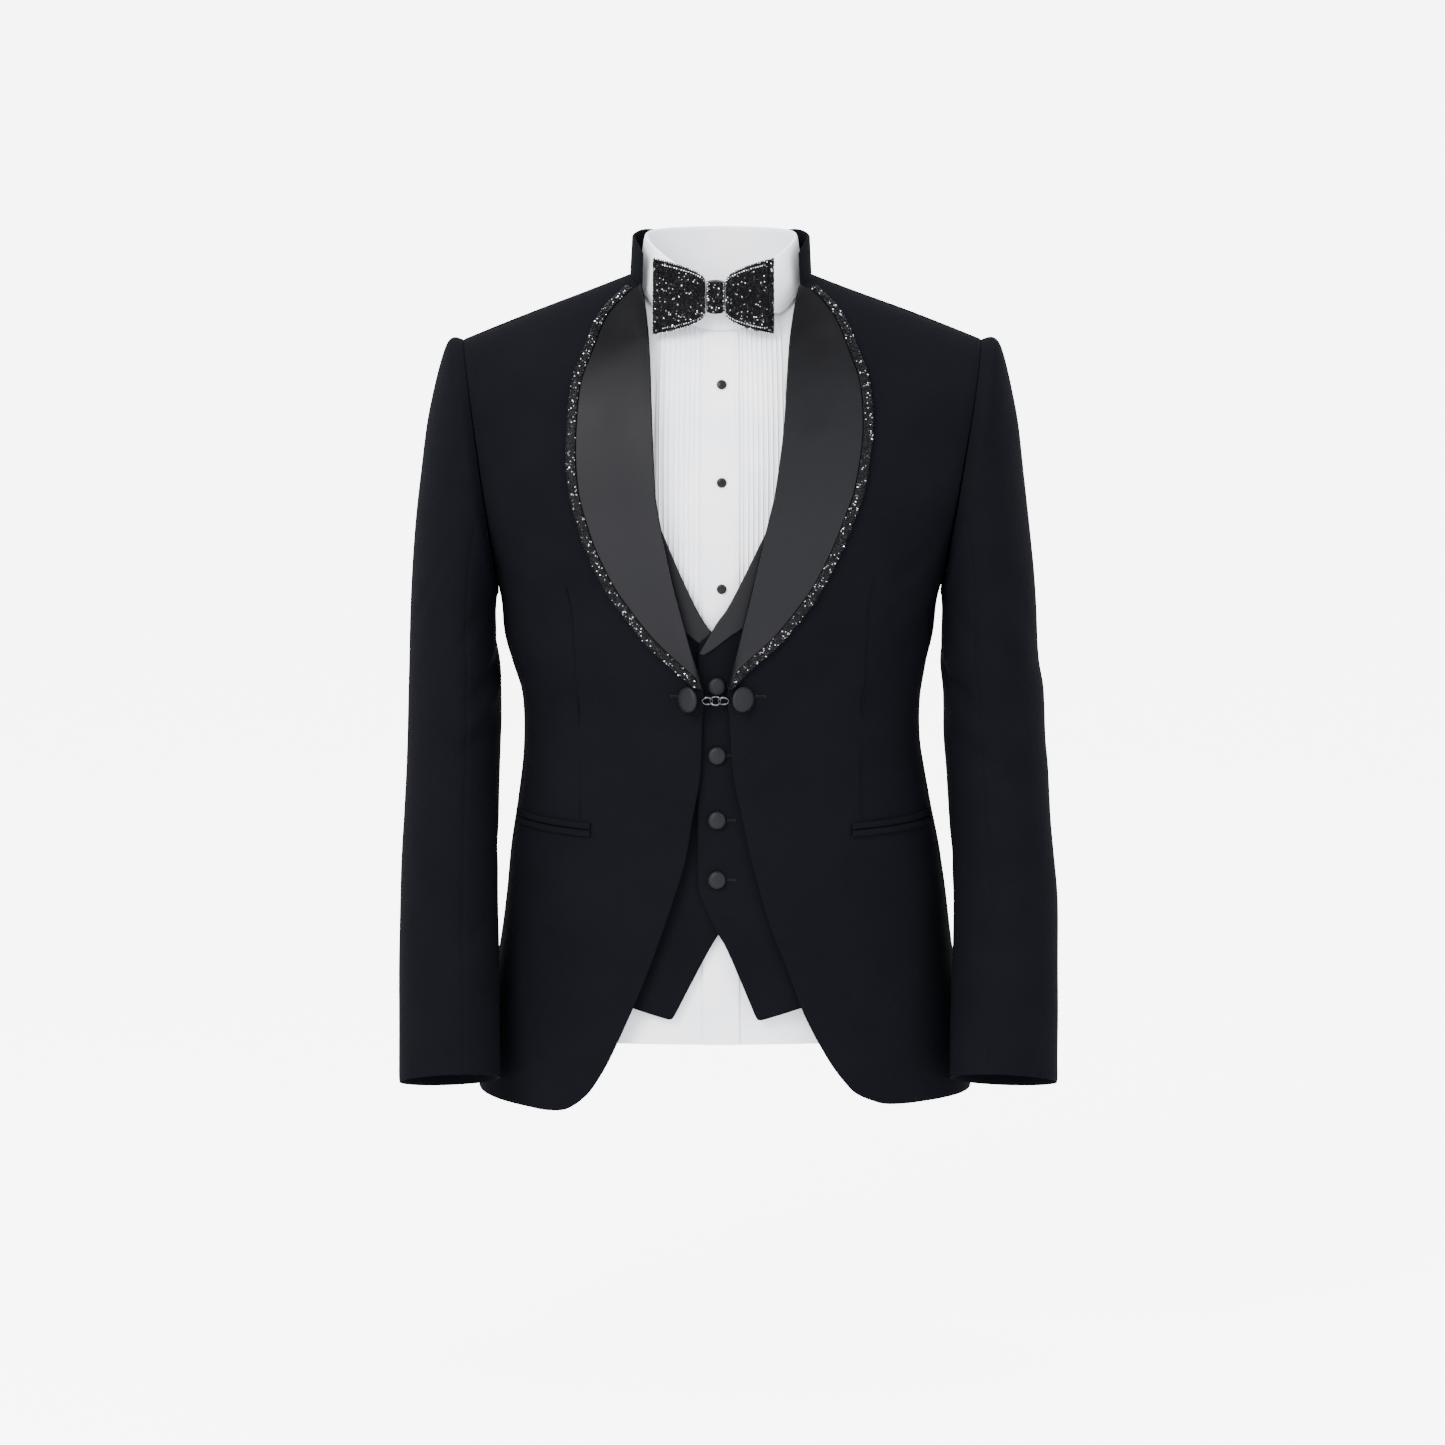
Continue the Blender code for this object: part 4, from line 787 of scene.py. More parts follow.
splayRows = table("outZ by", [
    (-0.049, 0.0008),
    (-0.083, 0.0006),
    (-0.140, 0.0008),
    (-0.205, 0.0016),
    (-0.280, 0.0035),
    (-0.355, 0.0041),
    (-0.430, 0.0034),
    (-0.510, 0.0024),
    (-0.600, 0.0024),
    (-0.684, 0.0028),
])
sleeve = {
    "rings": 12,
    "gap": 0.0003,
    "wall": 0.0018,
    "turns": 120,
    "rows": 150,
    "frontSeam": 108,     # degrees round the sleeve, where the under sleeve starts and ends
    "backSeam": 252,
}
# Sleeve creases: the turn that each is centred on, its height, how far round and how wide it is.
sleeveCreases = table("turn z round wide deep slant", [
    (150, -0.335, 55, 0.0090, -0.0028, 0.030),
    (140, -0.362, 48, 0.0080, 0.0018, 0.026),
    (128, -0.392, 52, 0.0100, -0.0026, 0.018),
    (95, -0.425, 50, 0.0095, -0.0018, -0.022),
    (110, -0.300, 40, 0.0120, -0.0016, 0.038),
    (60, -0.255, 38, 0.0130, -0.0014, 0.045),
    (75, -0.520, 44, 0.0140, 0.0014, -0.030),
    (120, -0.560, 50, 0.0120, -0.0018, 0.020),
    (240, -0.350, 46, 0.0110, -0.0018, -0.020),
    (225, -0.395, 50, 0.0100, 0.0016, -0.015),
    (250, -0.440, 40, 0.0120, -0.0016, 0.012),
    (200, -0.480, 46, 0.0130, -0.0014, 0.020),
    (300, -0.230, 42, 0.0150, -0.0014, -0.040),
])


def sleeveGrid(side):
    turns = np.arange(sleeve["turns"]) * 360 / sleeve["turns"]
    angle = np.radians(turns)
    seam = np.array([lifted(*armPlace(turn), np.asarray(0.0)) for turn in turns])
    share = (1 - np.cos(angle)) / 2
    ring = np.stack([side * (seam[:, 0] + sleeve["gap"] + 0.0026 * share), seam[:, 1], seam[:, 2]], axis=-1)
    rings = [ring]
    first, last = sleeveRows[0]["outZ"], sleeveRows[-1]["outZ"]
    columns = [key for key in sleeveRows[0] if key != "outZ"]
    for k in range(sleeve["rings"]):
        share = k / (sleeve["rings"] - 1)
        at = first + (last - first) * share
        row = {key: float(readColumn(sleeveRows, "outZ", key, at)) for key in columns}
        outX = row["outX"] + side * float(readColumn(splayRows, "outZ", "by", at))
        x = (outX + row["inX"]) / 2 + (outX - row["inX"]) / 2 * np.cos(angle)
        z = (at + row["inZ"]) / 2 + (at - row["inZ"]) / 2 * np.cos(angle) + row["drop"] / 2 * np.sin(angle)
        rings.append(np.stack([side * x, -row["fore"] - row["deep"] * np.sin(angle), z], axis=-1))
    rings = np.array(rings)
    # a smooth surface through the rings
    at = np.linspace(0, len(rings) - 1, sleeve["rows"] + 1)
    i = np.clip(at.astype(int), 0, len(rings) - 2)
    t = (at - i)[:, None, None]
    p0, p1 = rings[np.maximum(i - 1, 0)], rings[i]
    p2, p3 = rings[i + 1], rings[np.minimum(i + 2, len(rings) - 1)]
    bent = (2 * p0 - 5 * p1 + 4 * p2 - p3) * t**2 + (3 * p1 - p0 - 3 * p2 + p3) * t**3
    grid = 0.5 * (2 * p1 + (p2 - p0) * t + bent)
    return grid, turns


def sleeveRelief(grid, turns, side):
    total = uneven(grid, 0.13, 0.0007, 2.4 * side)
    for row in sleeveCreases:
        away = (turns - row["turn"] + 180) % 360 - 180
        away = away[None, :] / row["round"]
        fade = np.where(np.abs(away) < 1, np.cos(away * math.pi / 2) ** 1.5, 0.0)
        z = row["z"] + (0.006 if side < 0 else 0.0) + row["slant"] * away
        total = total + row["deep"] * fade * np.exp(-(((grid[..., 2] - z) / row["wide"]) ** 2))
    rows = np.linspace(0, 1, grid.shape[0])[:, None]
    return total * np.clip(rows / 0.10, 0, 1) * np.clip((1 - rows) / 0.04, 0.25, 1)


for side, name, big in sides:
    grid, turns = sleeveGrid(side)
    normals = gridNormals(grid, closed=True)
    centres = grid.mean(axis=1, keepdims=True)
    if np.einsum("ijk,ijk->", normals, grid - centres) < 0:
        normals = -normals
    grid = grid + normals * sleeveRelief(grid, turns, side)[..., None]
    step = 360 / sleeve["turns"]
    first, last = round(sleeve["frontSeam"] / step), round(sleeve["backSeam"] / step)
    picks = {"Upper": np.arange(last, first + sleeve["turns"] + 1) % sleeve["turns"],
             "Under": np.arange(first, last + 1)}
    for part, picked in picks.items():
        rows = grid[:, picked].copy()
        rows[:, 0] += unit(rows[:, 1] - rows[:, 0]) * body["seamGap"]
        rows[:, -1] += unit(rows[:, -2] - rows[:, -1]) * body["seamGap"]
        wallPiece(f"sleeve{part}{big}", f"jacket_sleeve_{part.lower()}_{name}", rows, normals[:, picked],
                  sleeve["wall"], "wool", "draped", [f"jacket_front_{name}"])
print("sleeves made")

# Stand collar of the jacket: its edge falls from the back round to the lapels.
steps = 140
turns = np.linspace(-jacket["collarReach"], jacket["collarReach"], steps + 1)
levels = spaced(14, jacket["collarHeight"])
grid = np.zeros((len(levels), steps + 1, 3))
fallFrom, fallOver, fallBy = jacket["collarFall"]
endFrom, endBy = jacket["collarEnd"]
for i, turn in enumerate(turns):
    base = neckOnForm(turn, neckSeam, 0.0)[1]
    end = max(abs(turn) - endFrom, 0) / (jacket["collarReach"] - endFrom)
    fall = min(max(abs(turn) - fallFrom, 0) / fallOver, 1)
    height = jacket["collarHeight"] * (1 - fallBy * fall * fall * (3 - 2 * fall) - endBy * end**3)
    foot = base[2] + jacket["collarGap"] * end
    lean = 1 - jacket["collarLean"] * levels
    grid[:, i] = np.stack([base[0] * lean, base[1] * lean, foot + height * levels], axis=-1)
normals = bandNormals(grid)
grid = grid + normals * uneven(grid, 0.05, 0.0003)[..., None]
wallPiece("jacketCollar", "jacket_collar", grid, normals, jacket["collarWall"], "wool", "draped",
          ["jacket_back_left", "jacket_back_right"])
print("jacket collar made")


# Geometry Nodes: beads strewn on a surface, and things set out along a line.
def newTree(name, given, made, inputs):
    # a node group that takes one geometry and gives one, with the identifiers of its inputs
    tree = bpy.data.node_groups.new(name, "GeometryNodeTree")
    tree.interface.new_socket(name=given, in_out="INPUT", socket_type="NodeSocketGeometry")
    ids = {}
    for label, (kind, value) in inputs.items():
        socket = tree.interface.new_socket(name=label, in_out="INPUT", socket_type=f"NodeSocket{kind}")
        ids[label] = socket.identifier
        if value is not None:
            socket.default_value = value
    tree.interface.new_socket(name=made, in_out="OUTPUT", socket_type="NodeSocketGeometry")
    return tree, ids, addNode(tree, "NodeGroupInput").outputs


def finishTree(tree, geometry):
    tree.links.new(geometry, addNode(tree, "NodeGroupOutput").inputs[0])


def applyTree(host, tree, ids, values):
    # sets the inputs by their identifiers, then turns the result into a plain mesh
    modifier = host.modifiers.new(tree.name, "NODES")
    modifier.node_group = tree
    for label, value in values.items():
        modifier[ids[label]] = value
    graph = bpy.context.evaluated_depsgraph_get()
    mesh = bpy.data.meshes.new_from_object(host.evaluated_get(graph))
    host.modifiers.remove(modifier)
    return mesh


def inFinish(tree, geometry, finish):
    # the geometry made real, in its material
    real = addNode(tree, "GeometryNodeRealizeInstances", None, {"Geometry": geometry})
    links = {"Geometry": real.outputs[0], "Material": finish}
    return addNode(tree, "GeometryNodeSetMaterial", None, links).outputs[0]


def beadTree():
    # crystals strewn evenly over a surface, a share of them in a second finish
    tree, ids, given = newTree("strewnBeads", "Surface", "Beads", {
        "Apart": ("Float", 0.0013),
        "Radius": ("Float", 0.0008),
        "Silver Share": ("Float", 0.2),
        "Seed": ("Int", 1),
        "Main Glass": ("Material", None),
        "Second Glass": ("Material", None),
    })
    strewn = addNode(tree, "GeometryNodeDistributePointsOnFaces", {
        "distribute_method": "POISSON", "Density Max": 4.0e6,
    }, {"Mesh": given["Surface"], "Distance Min": given["Apart"], "Seed": given["Seed"]})
    crystal = addNode(tree, "GeometryNodeMeshIcoSphere", {"Subdivisions": 1}, {"Radius": given["Radius"]})
    seed = {"Seed": given["Seed"]}
    kind = "FunctionNodeRandomValue"
    spin = addNode(tree, kind, {"data_type": "FLOAT_VECTOR", 1: (6.2, 6.2, 6.2)}, seed)
    size = addNode(tree, kind, {"data_type": "FLOAT", 2: 0.72, 3: 1.28}, seed)
    pick = addNode(tree, kind, {"data_type": "BOOLEAN"}, {"Probability": given["Silver Share"], **seed})
    placed = addNode(tree, "GeometryNodeInstanceOnPoints", None, {
        "Points": strewn.outputs["Points"], "Instance": crystal.outputs["Mesh"],
        "Rotation": spin.outputs[0], "Scale": size.outputs[1],
    })
    split = addNode(tree, "GeometryNodeSeparateGeometry", {"domain": "INSTANCE"},
                    {"Geometry": placed.outputs["Instances"], "Selection": pick.outputs[3]})
    halves = [inFinish(tree, split.outputs["Inverted"], given["Main Glass"]),
              inFinish(tree, split.outputs["Selection"], given["Second Glass"])]
    both = addNode(tree, "GeometryNodeJoinGeometry")
    for half in halves:
        tree.links.new(half, both.inputs[0])
    finishTree(tree, both.outputs[0])
    return tree, ids


def rowTree(name, shape, longWays):
    # one small thing repeated along a line of edges: a crystal, or a stitch laid along it
    tree, ids, given = newTree(name, "Line", "Row", {
        "Apart": ("Float", 0.002),
        "Radius": ("Float", 0.0008),
        "Length": ("Float", 0.0016),
        "Finish": ("Material", None),
    })
    curve = addNode(tree, "GeometryNodeMeshToCurve", None, {"Mesh": given["Line"]})
    points = addNode(tree, "GeometryNodeCurveToPoints", {"mode": "LENGTH"},
                     {"Curve": curve.outputs[0], "Length": given["Apart"]})
    if shape == "crystal":
        thing = addNode(tree, "GeometryNodeMeshIcoSphere", {"Subdivisions": 2}, {"Radius": given["Radius"]})
    else:
        thing = addNode(tree, "GeometryNodeMeshCylinder", {"Vertices": 6, "Side Segments": 1},
                        {"Radius": given["Radius"], "Depth": given["Length"]})
    links = {"Points": points.outputs["Points"], "Instance": thing.outputs["Mesh"]}
    if longWays:
        links["Rotation"] = addNode(tree, "FunctionNodeAlignRotationToVector", {"axis": "Z"},
                                    {"Vector": points.outputs["Tangent"]}).outputs["Rotation"]
    placed = addNode(tree, "GeometryNodeInstanceOnPoints", None, links)
    finishTree(tree, inFinish(tree, placed.outputs[0], given["Finish"]))
    return tree, ids


strewnBeads, beadIds = beadTree()
crystalRow, crystalIds = rowTree("crystalRow", "crystal", False)
stitchRow, stitchIds = rowTree("stitchRow", "stitch", True)


def hostOf(points, faces=(), edges=()):
    mesh = bpy.data.meshes.new("host")
    mesh.from_pydata(drawnOut(points).tolist(), [list(e) for e in edges], [list(f) for f in faces])
    return objectOf("host", mesh)


def pieceFrom(name, mesh, host, smoothShade):
    bpy.data.objects.remove(host, do_unlink=True)
    mesh.name = name
    if smoothShade:
        mesh.shade_smooth()
    else:
        mesh.shade_flat()
    return objectOf(name, mesh)


def strewBeads(name, grids, apart, radius, silverShare, seed):
    # beads over the given grids of points, each turned at random
    points, faces, start = [], [], 0
    for grid in grids:
        index = np.arange(grid.shape[0] * grid.shape[1]).reshape(grid.shape[:2]) + start
        points.extend(grid.reshape(-1, 3))
        faces.extend(gridFaces(index))
        start = len(points)
    host = hostOf(points, faces)
    values = {"Apart": apart, "Radius": radius, "Silver Share": silverShare, "Seed": seed,
              "Main Glass": jetBead, "Second Glass": silverBead}
    piece = pieceFrom(name, applyTree(host, strewnBeads, beadIds, values), host, False)
    return keep(piece)


def rowAlong(name, tree, ids, lines, apart, radius, finish, length=0.0016, smoothShade=True):
    points, edges, start = [], [], 0
    for line in lines:
        points.extend(line)
        edges.extend((start + k, start + k + 1) for k in range(len(line) - 1))
        start = len(points)
    host = hostOf(points, edges=edges)
    values = {"Apart": apart, "Radius": radius, "Length": length, "Finish": finish}
    piece = pieceFrom(name, applyTree(host, tree, ids, values), host, smoothShade)
    return keep(piece)


def liftedLine(places, lift):
    places = np.asarray(places, float)
    return lifted(places[:, 0], places[:, 1], np.full(len(places), lift))


# Lapels: satin shawl lapels, each with a band of beads along its outer edge.
lapel = {
    "lift": 0.0026,
    "wall": 0.0020,
    "roll": 0.0024,       # how far the folded roll stands proud
    "rollPower": 6,       # how fast that dies away across the lapel
    "dip": 0.0004,
    "gap": 0.0004,
    "rows": 130,
    "foot": -0.338,
}
beadBand = {
    "width": 0.0078,
    "lift": 0.0030,
    "wall": 0.0020,
    "crown": 0.0006,
    "least": 0.40,        # the least share of the lapel's width that stays satin
    "apart": 0.00110,
    "radius": 0.00070,
    "silver": 0.10,
}


def offsetLine(places, distance, side):
    # a line on the front moved across itself, towards the middle for a positive distance
    points = formPoints(places[:, 0], places[:, 1])
    tangent = unit(np.gradient(points, axis=0))
    across = np.cross(tangent, formNormals(places[:, 0], places[:, 1])) * side
    moved = points + across * np.asarray(distance)[..., None]
    return placeOf(moved[:, 0], moved[:, 2])


def keptOff(line, roll, edge, share):
    # the line, held at least this share of the lapel's width away from the roll
    least = roll + (edge - roll) * share
    return np.where((np.abs(line[:, :1]) > np.abs(least[:, :1])), line, least)


for side, name, big in sides:
    even = np.linspace(0, 1, lapel["rows"] + 1)
    rollRows = [row for row in frontEdge if row["z"] > lapel["foot"]]
    roll = along(tableLine(rollRows, name, side), even)
    edge = along(tableLine(lapelEdge, name, side), even)
    beadStart = keptOff(offsetLine(edge, beadBand["width"], side), roll, edge,
                        beadBand["least"])
    satinEnd = offsetLine(beadStart, lapel["gap"], side)

    up = spaced(128, 0.36)
    across = spaced(30, 0.06)
    grid = between(roll, satinEnd, across, up)
    rollRise = lapel["roll"] * (1 - across) ** lapel["rollPower"] - lapel["dip"] * np.sin(math.pi * across)

    def lapelRelief(points):
        return rollRise[None, :] + uneven(points, 0.09, 0.00035, 0.5 * side)

    clothPiece(f"lapel{big}", f"lapel_{name}", grid, lapel["lift"], lapel["wall"], "satin", "folded",
               [f"jacket_front_{name}"], lapelRelief, 0.0002)

    across = spaced(8, 0.008)
    grid = between(beadStart, edge, across, up)
    crown = beadBand["crown"] * np.sin(math.pi * across) ** 0.7
    clothPiece(f"beadBand{big}", f"lapel_beads_{name}", grid, beadBand["lift"], beadBand["wall"],
               "satin", "laid", [f"lapel_{name}"],
               lambda points: np.broadcast_to(crown[None, :], points.shape[:-1]), 0.0001)
    lift = beadBand["lift"] + beadBand["wall"] / 2 + crown[None, :] + 0.0002
    bed = lifted(grid[..., 0], grid[..., 1], np.broadcast_to(lift, grid.shape[:2]))
    strewBeads(f"beads{big}", [bed], beadBand["apart"], beadBand["radius"], beadBand["silver"], 11 + side)
print("lapels made")

# Dart seams on the fronts, and the two narrow welts of each hip pocket.
darts = {
    "left": [(0.1324, -0.239), (0.1255, -0.297), (0.1212, -0.354), (0.1204, -0.452)],
    "right": [(0.1330, -0.250), (0.1262, -0.303), (0.1225, -0.358), (0.1215, -0.452)],
    "width": 0.0011,
    "lift": 0.0012,
    "wall": 0.0006,
}
welt = {
    "z": -0.4505,
    "inX": 0.1120,
    "outX": 0.1745,
    "slope": 0.0045,
    "high": 0.0060,
    "gap": 0.0006,
    "lift": 0.0021,
    "wall": 0.0016,
    "crown": 0.0009,
}


for side, name, big in sides:
    even = np.linspace(0, 1, 60)
    line = along(ownLine(darts[name], side), even)
    rims = [offsetLine(line, way * darts["width"] / 2, side) for way in (1, -1)]
    middle, normals = onForm(between(*rims, np.linspace(0, 1, 7), even), darts["lift"], None, 0.0)
    keep(wallOf(f"dart{big}", middle, normals, darts["wall"], wool))
    for part, row in (("Upper", 0), ("Lower", 1)):
        high = welt["z"] - row * (welt["high"] + welt["gap"])
        lines = []
        for z in (high - welt["high"], high):
            lines.append([placeOf(side * welt["inX"], z - welt["slope"]), placeOf(side * welt["outX"], z)])
        across, up = spaced(40, 0.063), spaced(10, welt["high"])
        grid = patch(*lines, *(list(end) for end in zip(*lines)), across, up)
        piped = welt["crown"] * np.sin(math.pi * up) ** 0.6

        def weltRelief(points):
            return np.broadcast_to(piped[:, None], points.shape[:-1]) + uneven(points, 0.03, 0.0002)

        clothPiece(f"pocketWelt{part}{big}", f"pocket_welt_{part.lower()}_{name}", grid, welt["lift"],
                   welt["wall"], "wool", "laid", [f"jacket_front_{name}"], weltRelief, 0.0001)
print("pockets and darts made")


# Waistcoat: the left front laps over the right, with a narrow satin-faced band round the neck.
waistcoat = {
    "wall": 0.0016,
    "lift": {"left": -0.0060, "right": -0.0098},
    "gap": 0.0002,
    "lap": 0.0200,
    "sideZ": -0.568,
    "backZ": -0.520,
    "armFoot": -0.285,
    "band": 0.0230,
    "bandFoot": 0.0030,
    "bandWall": 0.0012,
    "bandGap": 0.0005,
    "drop": 0.0200,
    "tip": 0.0050,
}
vestNeck = table("z right left", [
    (0.004, 0.0800, 0.0800),
    (-0.060, 0.0790, 0.0780),
    (-0.130, 0.0700, 0.0650),
    (-0.190, 0.0555, 0.0440),
    (-0.245, 0.0322, 0.0170),
    (-0.288, 0.0086, -0.0086),
])
vestFoot = [
    {"z": -0.552, "right": 0.0020, "left": -0.0020},
    {"z": -0.628, "right": 0.0430, "left": 0.0318},
]
vestArmRows = table("z x", [
    (-0.040, 0.1500),
    (-0.090, 0.1460),
    (-0.160, 0.1480),
    (-0.220, 0.1620),
    (-0.262, 0.1800),
])
vestBackNeck = [(0.0800, 0.0105), (0.0600, 0.0085), (0.0300, 0.0080), (0.0001, 0.0080)]
vestCreases = table("x0 z0 x1 z1 wide deep bow", [
    (0.010, -0.410, 0.120, -0.395, 0.0100, 0.0007, 0.004),
    (-0.010, -0.470, 0.100, -0.440, 0.0110, -0.0008, 0.005),
    (0.012, -0.520, 0.060, -0.600, 0.0090, -0.0007, -0.003),
    (-0.030, -0.540, -0.070, -0.600, 0.0100, 0.0007, 0.003),
])


def vestArm(side, back=False):
    line = [placeOf(side * row["x"], row["z"], back) for row in vestArmRows][::-1]
    top = vestArmRows[0]["x"]
    shoulder = placeOf(side * top, shoulderLine(top), back)[0]
    return smooth([(side * 1.0, waistcoat["armFoot"]), *line, (shoulder, -0.0004)])


def roundedTip(before, tip, after, reach):
    # the line through a tip, rounded off over this reach on each side
    before, tip, after = (np.array(place) for place in (before, tip, after))
    first = tip + unit(before - tip) * reach
    last = tip + unit(after - tip) * reach
    t = np.linspace(0, 1, 11)[:, None]
    return np.concatenate([[before], (1 - t) ** 2 * first + 2 * t * (1 - t) * tip + t**2 * last, [after]])


def vestRelief(points):
    return creased(points, vestCreases) + uneven(points, 0.12, 0.0004, 3.0)


for side, name, big in sides:
    lift, lap = waistcoat["lift"][name], -waistcoat["lap"]
    neck = [(row[name], row["z"]) for row in vestNeck]
    notch, point = [(row[name], row["z"]) for row in vestFoot]
    lapTop = vestNeck[-1]["z"] - waistcoat["drop"]
    edge = neck + [(lap, lapTop), (lap, -0.42), (lap, notch[1] + 0.040)]
    tip = roundedTip(notch, point, (point[0] + 0.040, point[1] + 0.012), waistcoat["tip"])
    inner = np.concatenate([ownLine(edge, side), placeOf(side * tip[:7, 0], tip[:7, 1])])[::-1]
    foot = (side * 1.0, waistcoat["sideZ"])
    bottom = np.concatenate([placeOf(side * tip[6:, 0], tip[6:, 1]), [foot]])
    tops = [float(placeOf(side * x, shoulderLine(x))[0]) for x in (neck[0][0], vestArmRows[0]["x"])]
    top = [(u, -0.0004) for u in tops]
    inner[-1] = top[0]
    outer = joined(([foot, (side * 1.0, waistcoat["armFoot"])], 10), (vestArm(side), 8))
    grid = patch(bottom, top, inner, outer, spaced(46, 0.16), spaced(120, 0.66))
    clothPiece(f"waistcoatFront{big}", f"waistcoat_front_{name}", grid, lift, waistcoat["wall"], "wool",
               "draped", [f"shirt_front_{name}"], vestRelief, waistcoat["gap"])

    bandFoot = (lap * 0.94, lapTop + 0.0015)
    even = np.linspace(0, 1, 91)
    grow = np.minimum((1 - even) / 0.20, 1) ** 0.8 * (waistcoat["band"] - waistcoat["bandFoot"])
    edgeLine = along(ownLine(neck[1:] + [bandFoot], side), even)
    wide = offsetLine(edgeLine, -waistcoat["bandFoot"] - grow, side)
    bandLift = lift + waistcoat["wall"] / 2 + waistcoat["bandWall"] / 2 + waistcoat["bandGap"]
    grid = between(edgeLine, wide, spaced(14, waistcoat["band"]), spaced(88, 0.25))
    clothPiece(f"waistcoatBand{big}", f"waistcoat_collar_{name}", grid, bandLift, waistcoat["bandWall"],
               "satin", "laid", [f"waistcoat_front_{name}"],
               vestRelief, waistcoat["gap"])

neck = ownLine(vestBackNeck, 1, True)
leftArm = vestArm(1, True)
half = np.concatenate([[leftArm[-1]], [(neck[0][0], -0.0004)], neck[1:], [(2.0, neck[-1][1])]])
top = np.concatenate([half, mirrored(half[::-1])[1:]])
left = joined(([(1.0, waistcoat["sideZ"]), (1.0, waistcoat["armFoot"])], 6), (leftArm, 8))
right = (left[0], mirrored(left[1]))
bottom = [(1.0, waistcoat["sideZ"]), (2.0, waistcoat["backZ"]), (3.0, waistcoat["sideZ"])]
grid = patch(bottom, top, left, right, spaced(90, 0.40), spaced(96, 0.54))
middle = grid.shape[1] // 2
for side, name, big in sides:
    half = grid[:, :middle + 1] if side > 0 else grid[:, middle:]
    clothPiece(f"waistcoatBack{big}", f"waistcoat_back_{name}", half, waistcoat["lift"]["left"],
               waistcoat["wall"], "wool", "draped", ["shirt_back"],
               lambda points: uneven(points, 0.15, 0.0005, 4.0))
print("waistcoat made")

# Shirt: bib of fine pin tucks beside a placket, straight hem.
shirt = {
    "wall": 0.0010,
    "lift": -0.0172,
    "hemZ": -0.6495,
    "armIn": 0.0190,
    "split": 0.0004,
    "placketHalf": 0.0160,
    "placketLift": 0.0016,
    "tucks": 9,
    "tuckStep": 0.0044,
    "tuckRise": 0.0010,
    "tuckHalf": 0.0007,
    "tuckFoot": -0.300,
    "rows": 150,
}
# A tuck's cross-section: how far from its middle, in half widths, and how high.
tuckShape = [(-1, 0.0), (-0.5, 0.75), (0, 1.0), (0.5, 0.75), (1, 0.0), (1.9, -0.12), (3.8, -0.12)]
stand = {"x": 0.0635, "front": 0.0700, "back": 0.0470}
leaf = {"x": 0.0655, "front": 0.0720, "back": 0.0490}
leafShape = {"flare": 0.0050, "seat": 0.0014, "reach": 166, "wall": 0.0013, "top": 179.95}
collarRows = table("turn top leaf", [
    (0, 0.0500, 0.0140),
    (60, 0.0490, 0.0120),
    (90, 0.0460, 0.0080),
    (115, 0.0390, -0.0060),
    (135, 0.0300, -0.0180),
    (155, 0.0190, -0.0060),
    (180, 0.0120, 0.0060),
])
shirtCreases = table("x0 z0 x1 z1 wide deep bow", [
    (-0.020, -0.090, -0.050, -0.230, 0.0090, -0.0008, 0.004),
    (0.020, -0.280, -0.030, -0.170, 0.0080, 0.0006, 0.004),
    (0.060, -0.560, 0.030, -0.648, 0.0080, -0.0012, 0.002),
    (-0.050, -0.570, -0.080, -0.648, 0.0090, -0.0012, -0.002),
    (-0.100, -0.600, -0.090, -0.648, 0.0070, 0.0009, 0.001),
])
shirtNeck = []
for turn in range(180, 90, -5):
    u, level = neckOnForm(turn, stand, shirt["lift"])[0]
    x, _, z = formPoints(abs(u), level)
    shirtNeck.append({"x": float(x), "z": float(z), "u": abs(float(u)), "level": float(level)})
armFootZ = armPlace(180, shirt["armIn"])[1]
even = np.linspace(0, 1, shirt["rows"] + 1)


def shirtColumn(x, top):
    shares = 1 - (1 - even) ** 1.3
    return placeOf(np.full(len(even), float(x)), shirt["hemZ"] + (top - shirt["hemZ"]) * shares)


def shirtRelief(points):
    return creased(points, shirtCreases) + uneven(points, 0.14, 0.0004, 5.0)


for side, name, big in sides:
    xs, rise = [shirt["split"], 0.0010, 0.004, 0.008, 0.012, shirt["placketHalf"] - 0.0005], [0.0] * 6
    for k in range(shirt["tucks"]):
        middle = shirt["placketHalf"] + shirt["tuckStep"] * (k + 0.75)
        for away, up in tuckShape:
            xs.append(middle + away * shirt["tuckHalf"])
            rise.append(up * shirt["tuckRise"])
    columns = [shirtColumn(side * x, float(readColumn(shirtNeck, "x", "z", x))) for x in xs]
    inner = columns[-1]
    bottom = [inner[0]] + [(side * u, shirt["hemZ"]) for u in (0.45, 0.7, 1.0)]
    armTop = body["shoulderHalf"] - 1.3 * shirt["armIn"]
    rest = [(side * row["u"], row["level"]) for row in shirtNeck if row["u"] > abs(inner[-1][0])]
    top = [inner[-1]] + rest
    top += [(float(placeOf(side * x, shoulderLine(x))[0]), -0.0004) for x in (stand["x"], armTop)]
    arm = sided(armLine(180, 0, shirt["armIn"]), side)
    outer = joined(([(side * 1.0, shirt["hemZ"]), (side * 1.0, armFootZ)], 6), (arm, 6))
    wide = patch(bottom, top, inner, outer, np.linspace(0, 1, 29), even)[:, 1:]
    grid = np.concatenate([np.stack(columns, axis=1), wide], axis=1)
    tuckRow = np.concatenate([rise, np.zeros(wide.shape[1])])

    def tuckedRelief(points):
        show = np.clip((points[..., 2] - shirt["tuckFoot"]) / 0.012, 0, 1)
        return tuckRow[None, :] * show + shirtRelief(points)

    clothPiece(f"shirtFront{big}", f"shirt_front_{name}", grid, shirt["lift"], shirt["wall"], "cotton",
               "draped", ["shirt_back"], tuckedRelief)

